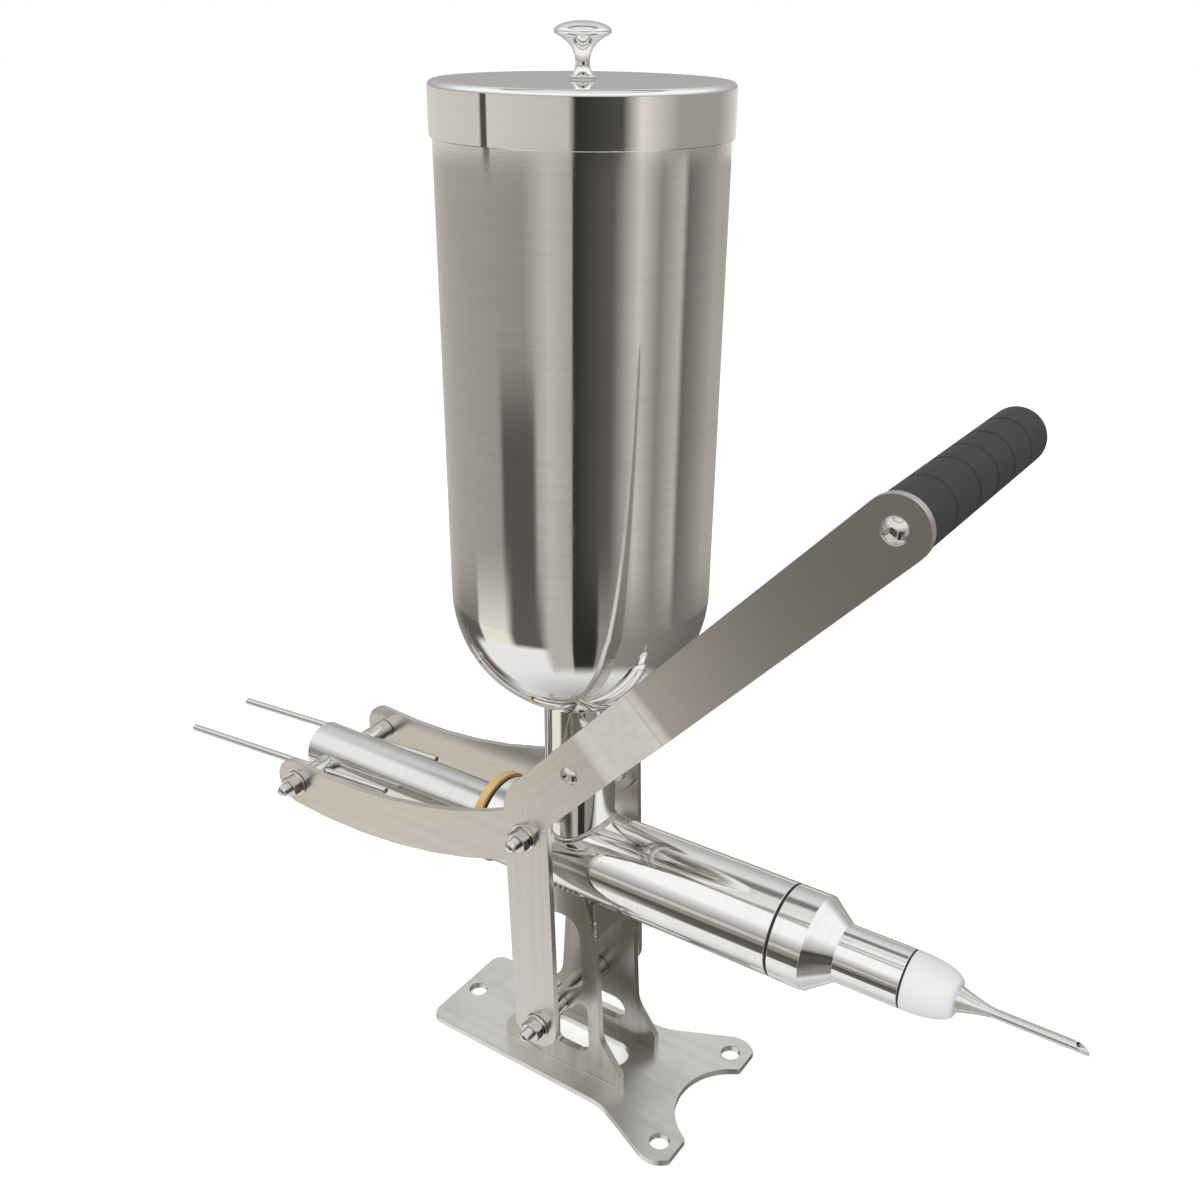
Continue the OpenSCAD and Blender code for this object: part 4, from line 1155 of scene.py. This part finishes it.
class FILLER_OT_plunger(FillerOperator):
    """Plunger, its seals, the cross pin and the set screws"""

    bl_idname = "filler.plunger"
    bl_label = "Plunger"

    seal_backs = (9.5, 4)
    groove_w = 3

    def build(self):
        low, high, r = PLUNGER_LOW.x, PLUNGER_HIGH.x, PLUNGER_R
        outline = [(0, low + 2.4), (2.4, low), (r - 1.5, low), (r, low + 1.5)]
        for back in self.seal_backs:
            start, end = high - back - self.groove_w, high - back
            outline += [(r, start), (r - 2, start), (r - 2, end), (r, end)]
        outline += [(r, high - 1.5), (r - 1.5, high), (0, high)]
        along_barrel("plunger_rod", "plunger", outline, "plunger", "plunger", ring=False)

        bm = bmesh.new()
        for back in self.seal_backs:
            start, end = high - back - self.groove_w + 0.1, high - back - 0.1
            outline = eased([(r - 1.9, start), (r, start, 0.8), (r, end, 0.8), (r - 1.9, end)])
            turned(bm, outline, "X", BARREL_AXIS, 96, ring=True)
        finish("plunger_rings", bm, material("seal"), "plunger", ["plunger_seals"])
        self.cross_pin()

    def cross_pin(self):
        shoulder = span("link_far")[0].y - LINK_PLAY
        side = [(7, shoulder - 0.5), (6.5, shoulder), (BOLT_R, shoulder)]
        side += rod_end(BOLT_R, span("pin_nuts")[1].y - NUT_H, span("cross_pin")[1].y)
        pin, drills, screws = bmesh.new(), bmesh.new(), bmesh.new()
        turned(pin, mirrored(side), "Y", (CROSS_PIN.x, 0, BARREL_Z), sizes().small_steps)
        screw = eased([(0, 3), (2, 3), (2, 7.5, 0.3), (1.1, 7.5), (1.1, 6.6), (0, 6.6)])
        for _, name in SIDES:
            at = (CROSS_PIN.x, middle("stop_rod_" + name).y, BARREL_Z)
            drill = prism(drills, DRILL_R, -20, 20, 32)
            placed(drills, drill, "X")
            tilted(drills, drill, at)
            tilted(screws, turned(screws, screw, steps=24), at)
        bm = joined(pin, drills, "DIFFERENCE")
        finish("cross_pin_turning", bm, material("plated"), "plunger", ["cross_pin"], 28)
        finish("set_screws", screws, material("plated"), "plunger", ["rod_set_screws"])


class FILLER_OT_rods(FillerOperator):
    """Stop rods"""

    bl_idname = "filler.rods"
    bl_label = "Stop rods"

    def build(self):
        half = ROD_LENGTH / 2
        for _, name in SIDES:
            node = "stop_rod_" + name
            bm = bmesh.new()
            made = turned(bm, eased([(0, -half), (ROD_R, -half, 0.9), (ROD_R, half, 0.9),
                                     (0, half)]), "X", steps=32)
            tilted(bm, made, middle(node))
            finish(node + "_bar", bm, material("rod"), node, [node])


class FILLER_OT_fasteners(FillerOperator):
    """Axle, bolts, washers and nuts"""

    bl_idname = "filler.fasteners"
    bl_label = "Fasteners"

    def build(self):
        axle = rod_end(BOLT_R, span("axle_nuts")[1].y - NUT_H, span("lever_axle")[1].y)
        bm = bmesh.new()
        turned(bm, mirrored(axle), "Y", (AXLE.x, 0, AXLE.z), 40)
        finish("axle_rod", bm, material("plated"), "frame", ["lever_axle"], 28)

        collar_end = span("link_far")[0].y - LINK_PLAY
        head_h, collar_t = 3.7, 1.6
        shank_end = rod_end(BOLT_R, span("link_nuts")[1].y - NUT_H, span("link_bolts")[1].y)
        shank = [(0, collar_end - 1), (BOLT_R, collar_end - 1)] + shank_end
        head = hexagon(head_h, 0, domed=True)
        bm = bmesh.new()
        for (axis, at), way, facing in zip(both_sides(LINK_BOLT, 0), (1, -1), ("-Y", "Y")):
            stamp(bm, head, facing, (at[0], way * (collar_end - collar_t), at[2]))
            washer(bm, 0.5, radius("link_bolts"), collar_end - collar_t, collar_end, axis, at)
            turned(bm, shank, axis, at, 40)
        head.free()
        finish("link_bolt_set", bm, material("plated"), "lever", ["link_bolts"], 28)

        for name, node, body in (("axle_nut_pair", "axle_nuts", "frame"),
                                 ("link_nut_pair", "link_nuts", "lever"),
                                 ("pin_nut_pair", "pin_nuts", "plunger")):
            nuts(name, node, body)
        for name, node, body in (("axle_washer_pair", "axle_washers", "frame"),
                                 ("link_washer_pair", "link_washers", "lever"),
                                 ("pin_washer_pair", "pin_washers", "plunger")):
            washers(name, node, body)


# A plain room, seen only in the gloss: (angle, brightness) of its broad light and dark areas.
# Walls go round in degrees to the right of the camera's own side, and the other bands go up.
ROOM_TINT = (1.0, 0.94, 0.85)
WALL_BANDS = [
    (-180, 0.6), (-125, 0.4), (-45, 0.3), (-25, 0.55), (-7, 0.4), (-6, 0.03), (25, 0.12),
    (46, 0.6), (64, 0.25), (84, 0.5), (90, 0.15), (130, 0.4),
]
UPPER_WALL_BANDS = [
    (-180, 0.7), (-79, 0.6), (-78, 0.08), (-73, 0.08), (-72, 0.65), (-9, 0.55), (-4, 0.03),
    (30, 0.08), (44, 0.75), (76, 0.35), (120, 0.35), (165, 0.8),
]
LOWER_WALL_BANDS = [
    (-180, 0.5), (-130, 0.12), (-102, 0.12), (-100, 0.85), (-68, 0.85), (-60, 0.12),
    (-35, 0.12), (-27, 0.5), (-7, 0.5), (-6, 0.03), (15, 0.03), (17, 0.3), (127, 0.15),
]
LOW_BANDS = [(-90, 0.4), (-57, 0.85), (-30, 0.9)]
FRONT_CEILING = [
    (0, 0.25), (7, 0.45), (20, 0.75), (28, 1.0), (56, 1.0), (59, 0.35), (63, 0.75), (80, 0.95),
]
BACK_CEILING = [
    (0, 0.4), (20, 0.5), (38, 0.7), (50, 0.75), (58, 0.2), (65, 0.2), (70, 0.9), (80, 0.55),
]
DARK_CORNER = [(-90, 0.1)]

# Where one part of the room gives way to the next, in degrees: up, or to the right.
HORIZON = (-6.3, -5.8)
CEILING_EDGE = (0, 2.5)
LOWER_WALL_EDGE = (-27, -22)
GROUND_EDGE = (-64, -50)
SILL_EDGE, SILL_WIDTH = (-38, -33), (-115, -30)
CORNER_EDGE, CORNER_WIDTH = (-18, -13), (-68, -37)
BACK_OF_ROOM = (105, 150)


class FILLER_OT_stage(FillerOperator):
    """Floor, lights, surroundings and camera"""

    bl_idname = "filler.stage"
    bl_label = "Stage"

    camera_place = (396.94, -581.04, 665.06)
    camera_heading = 123.389
    camera_tilt = -26.803
    camera_roll = 0.63
    camera_lens = 39.36
    frame_rise = 0.04385

    def build(self):
        scene = bpy.context.scene
        scene.view_settings.view_transform = "Standard"
        self.floor()
        self.surroundings()
        self.lamps()
        camera = bpy.data.objects.new("camera", bpy.data.cameras.new("camera"))
        scene.collection.objects.link(camera)
        camera.location = Vector(self.camera_place) * MM
        heading, tilt = radians(self.camera_heading), radians(self.camera_tilt)
        forward = Vector((cos(tilt) * cos(heading), cos(tilt) * sin(heading), sin(tilt)))
        aim = forward.to_track_quat("-Z", "Y").to_matrix().to_4x4()
        camera.rotation_euler = (aim @ Matrix.Rotation(radians(self.camera_roll), 4, "Z")).to_euler()
        camera.data.lens = self.camera_lens
        camera.data.sensor_width = 36
        camera.data.shift_y = self.frame_rise
        camera.data.clip_start = 0.01
        scene.camera = camera

    def floor(self):
        bm = bmesh.new()
        bmesh.ops.create_grid(bm, x_segments=1, y_segments=1, size=12)
        floor = as_object(bm, "floor")
        look = bpy.data.materials.new("studio_floor")
        look.use_nodes = True
        tree = look.node_tree
        shader = tree.nodes["Principled BSDF"]
        shader.inputs["Base Color"].default_value = opaque(colours().floor)
        shader.inputs["Roughness"].default_value = 0.9
        shader.inputs["Specular IOR Level"].default_value = 0.1
        glow = tree.nodes.new("ShaderNodeEmission")
        ray = tree.nodes.new("ShaderNodeLightPath")
        lift = times(tree, ray.outputs["Is Camera Ray"], 0.5)
        tree.links.new(lift, glow.inputs["Strength"])
        both = tree.nodes.new("ShaderNodeAddShader")
        tree.links.new(shader.outputs[0], both.inputs[0])
        tree.links.new(glow.outputs[0], both.inputs[1])
        tree.links.new(both.outputs[0], tree.nodes["Material Output"].inputs["Surface"])
        floor.data.materials.append(look)
        floor.visible_glossy = False

    def surroundings(self):
        """White for the camera, a soft studio with dark and bright areas for gloss."""
        world = bpy.data.worlds.new("studio")
        bpy.context.scene.world = world
        world.use_nodes = True
        tree = world.node_tree
        tree.nodes.clear()
        ray = tree.nodes.new("ShaderNodeLightPath")
        where = tree.nodes.new("ShaderNodeTexCoord")
        split = tree.nodes.new("ShaderNodeSeparateXYZ")
        tree.links.new(where.outputs["Generated"], split.inputs[0])
        heading = maths(tree, "ARCTAN2", split.outputs["Y"], split.outputs["X"])
        front = minus(tree, heading, radians(self.camera_heading))
        turn = maths(tree, "FRACT", maths(tree, "DIVIDE", front, 2 * pi))
        side = maths(tree, "MULTIPLY_ADD", turn, 360, third=-180)
        rise = times(tree, maths(tree, "ARCSINE", split.outputs["Z"]), 180 / pi)
        level = maths(tree, "DIVIDE", plus(tree, rise, 90), 180)

        walls, upper_walls, lower_walls = (
            self.ramp(tree, turn, bands, 360, 180, ROOM_TINT)
            for bands in (WALL_BANDS, UPPER_WALL_BANDS, LOWER_WALL_BANDS))
        ground = self.ramp(tree, level, LOW_BANDS, 180, 90)
        pale = times(tree, remap(tree, rise, *SILL_EDGE, 1, 0),
                     self.window(tree, side, *SILL_WIDTH, 12))
        low = maths(tree, "MAXIMUM", pale, remap(tree, rise, *GROUND_EDGE, 1, 0))
        corner = times(tree, remap(tree, rise, *CORNER_EDGE, 1, 0),
                       self.window(tree, side, *CORNER_WIDTH, 6))
        seen = colour_mix(tree, corner, walls,
                          self.ramp(tree, level, DARK_CORNER, 180, 90, ROOM_TINT))
        seen = colour_mix(tree, remap(tree, rise, *LOWER_WALL_EDGE, 1, 0), seen, lower_walls)
        seen = colour_mix(tree, low, seen, ground)
        seen = colour_mix(tree, remap(tree, rise, *HORIZON), seen, upper_walls)
        behind = remap(tree, maths(tree, "ABSOLUTE", side), *BACK_OF_ROOM)
        above = colour_mix(tree, behind, self.ramp(tree, level, FRONT_CEILING, 180, 90),
                           self.ramp(tree, level, BACK_CEILING, 180, 90))
        seen = colour_mix(tree, remap(tree, rise, *CEILING_EDGE), seen, above)

        white = self.background(tree, (1, 1, 1, 1), 1.0)
        gloss = self.background(tree, seen, 1.0)
        plain = self.background(tree, (1, 1, 1, 1), 0.62)
        lit = self.choice(tree, ray.outputs["Is Glossy Ray"], plain, gloss)
        end = tree.nodes.new("ShaderNodeOutputWorld")
        tree.links.new(self.choice(tree, ray.outputs["Is Camera Ray"], lit, white),
                       end.inputs["Surface"])

    def window(self, tree, value, low, high, soft):
        """One between two angles, fading to nothing on both sides."""
        return times(tree, remap(tree, value, low - soft / 2, low + soft / 2),
                     remap(tree, value, high - soft / 2, high + soft / 2, 1, 0))

    def background(self, tree, light, strength):
        node = tree.nodes.new("ShaderNodeBackground")
        feed(tree, light, node.inputs["Color"])
        node.inputs["Strength"].default_value = strength
        return node.outputs[0]

    def choice(self, tree, factor, first, second):
        node = tree.nodes.new("ShaderNodeMixShader")
        for socket, value in zip(node.inputs, (factor, first, second)):
            tree.links.new(value, socket)
        return node.outputs[0]

    def ramp(self, tree, factor, bands, full, offset, tint=(1, 1, 1)):
        """Colour ramp from bands of (angle, brightness)."""
        node = tree.nodes.new("ShaderNodeValToRGB")
        tree.links.new(factor, node.inputs[0])
        stops = node.color_ramp.elements
        while len(stops) > 1:
            stops.remove(stops[-1])
        for i, (angle, brightness) in enumerate(bands):
            at = (angle + offset) / full
            stop = stops[0] if i == 0 else stops.new(at)
            stop.position = at
            stop.color = opaque(shade(tint, brightness))
        return node.outputs["Color"]

    def lamps(self):
        for name, place, size, power in (("key_lamp", (-0.9, -1.5, 2.0), 1.6, 26.0),
                                         ("side_lamp", (1.8, -0.6, 1.4), 1.4, 12.0)):
            light = bpy.data.lights.new(name, "AREA")
            light.shape = "DISK"
            light.size = size
            light.energy = power
            lamp = bpy.data.objects.new(name, light)
            bpy.context.scene.collection.objects.link(lamp)
            lamp.location = place
            lamp.visible_glossy = False
            target = Vector((0, 0, 0.25))
            lamp.rotation_euler = (target - lamp.location).to_track_quat("-Z", "Y").to_euler()


class FILLER_PT_panel(bpy.types.Panel):
    """Lists the steps that build the filler"""

    bl_label = "Donut filler"
    bl_idname = "FILLER_PT_panel"
    bl_space_type = "VIEW_3D"
    bl_region_type = "UI"
    bl_category = "Filler"

    def draw(self, context):
        for step in STEPS:
            self.layout.operator(step.bl_idname)


STEPS = (FILLER_OT_hopper, FILLER_OT_lid, FILLER_OT_barrel, FILLER_OT_nose, FILLER_OT_base,
         FILLER_OT_welds, FILLER_OT_lever, FILLER_OT_grip, FILLER_OT_links, FILLER_OT_plunger,
         FILLER_OT_rods, FILLER_OT_fasteners, FILLER_OT_stage)
CLASSES = (FillerColours, FillerSizes) + STEPS + (FILLER_PT_panel,)


def register():
    for cls in CLASSES:
        bpy.utils.register_class(cls)
    bpy.types.Scene.filler_colours = PointerProperty(type=FillerColours)
    bpy.types.Scene.filler_sizes = PointerProperty(type=FillerSizes)


def unregister():
    del bpy.types.Scene.filler_sizes
    del bpy.types.Scene.filler_colours
    for cls in reversed(CLASSES):
        bpy.utils.unregister_class(cls)


def main():
    register()
    for step in STEPS:
        area, name = step.bl_idname.split(".")
        getattr(getattr(bpy.ops, area), name)()


if __name__ == "__main__":
    main()
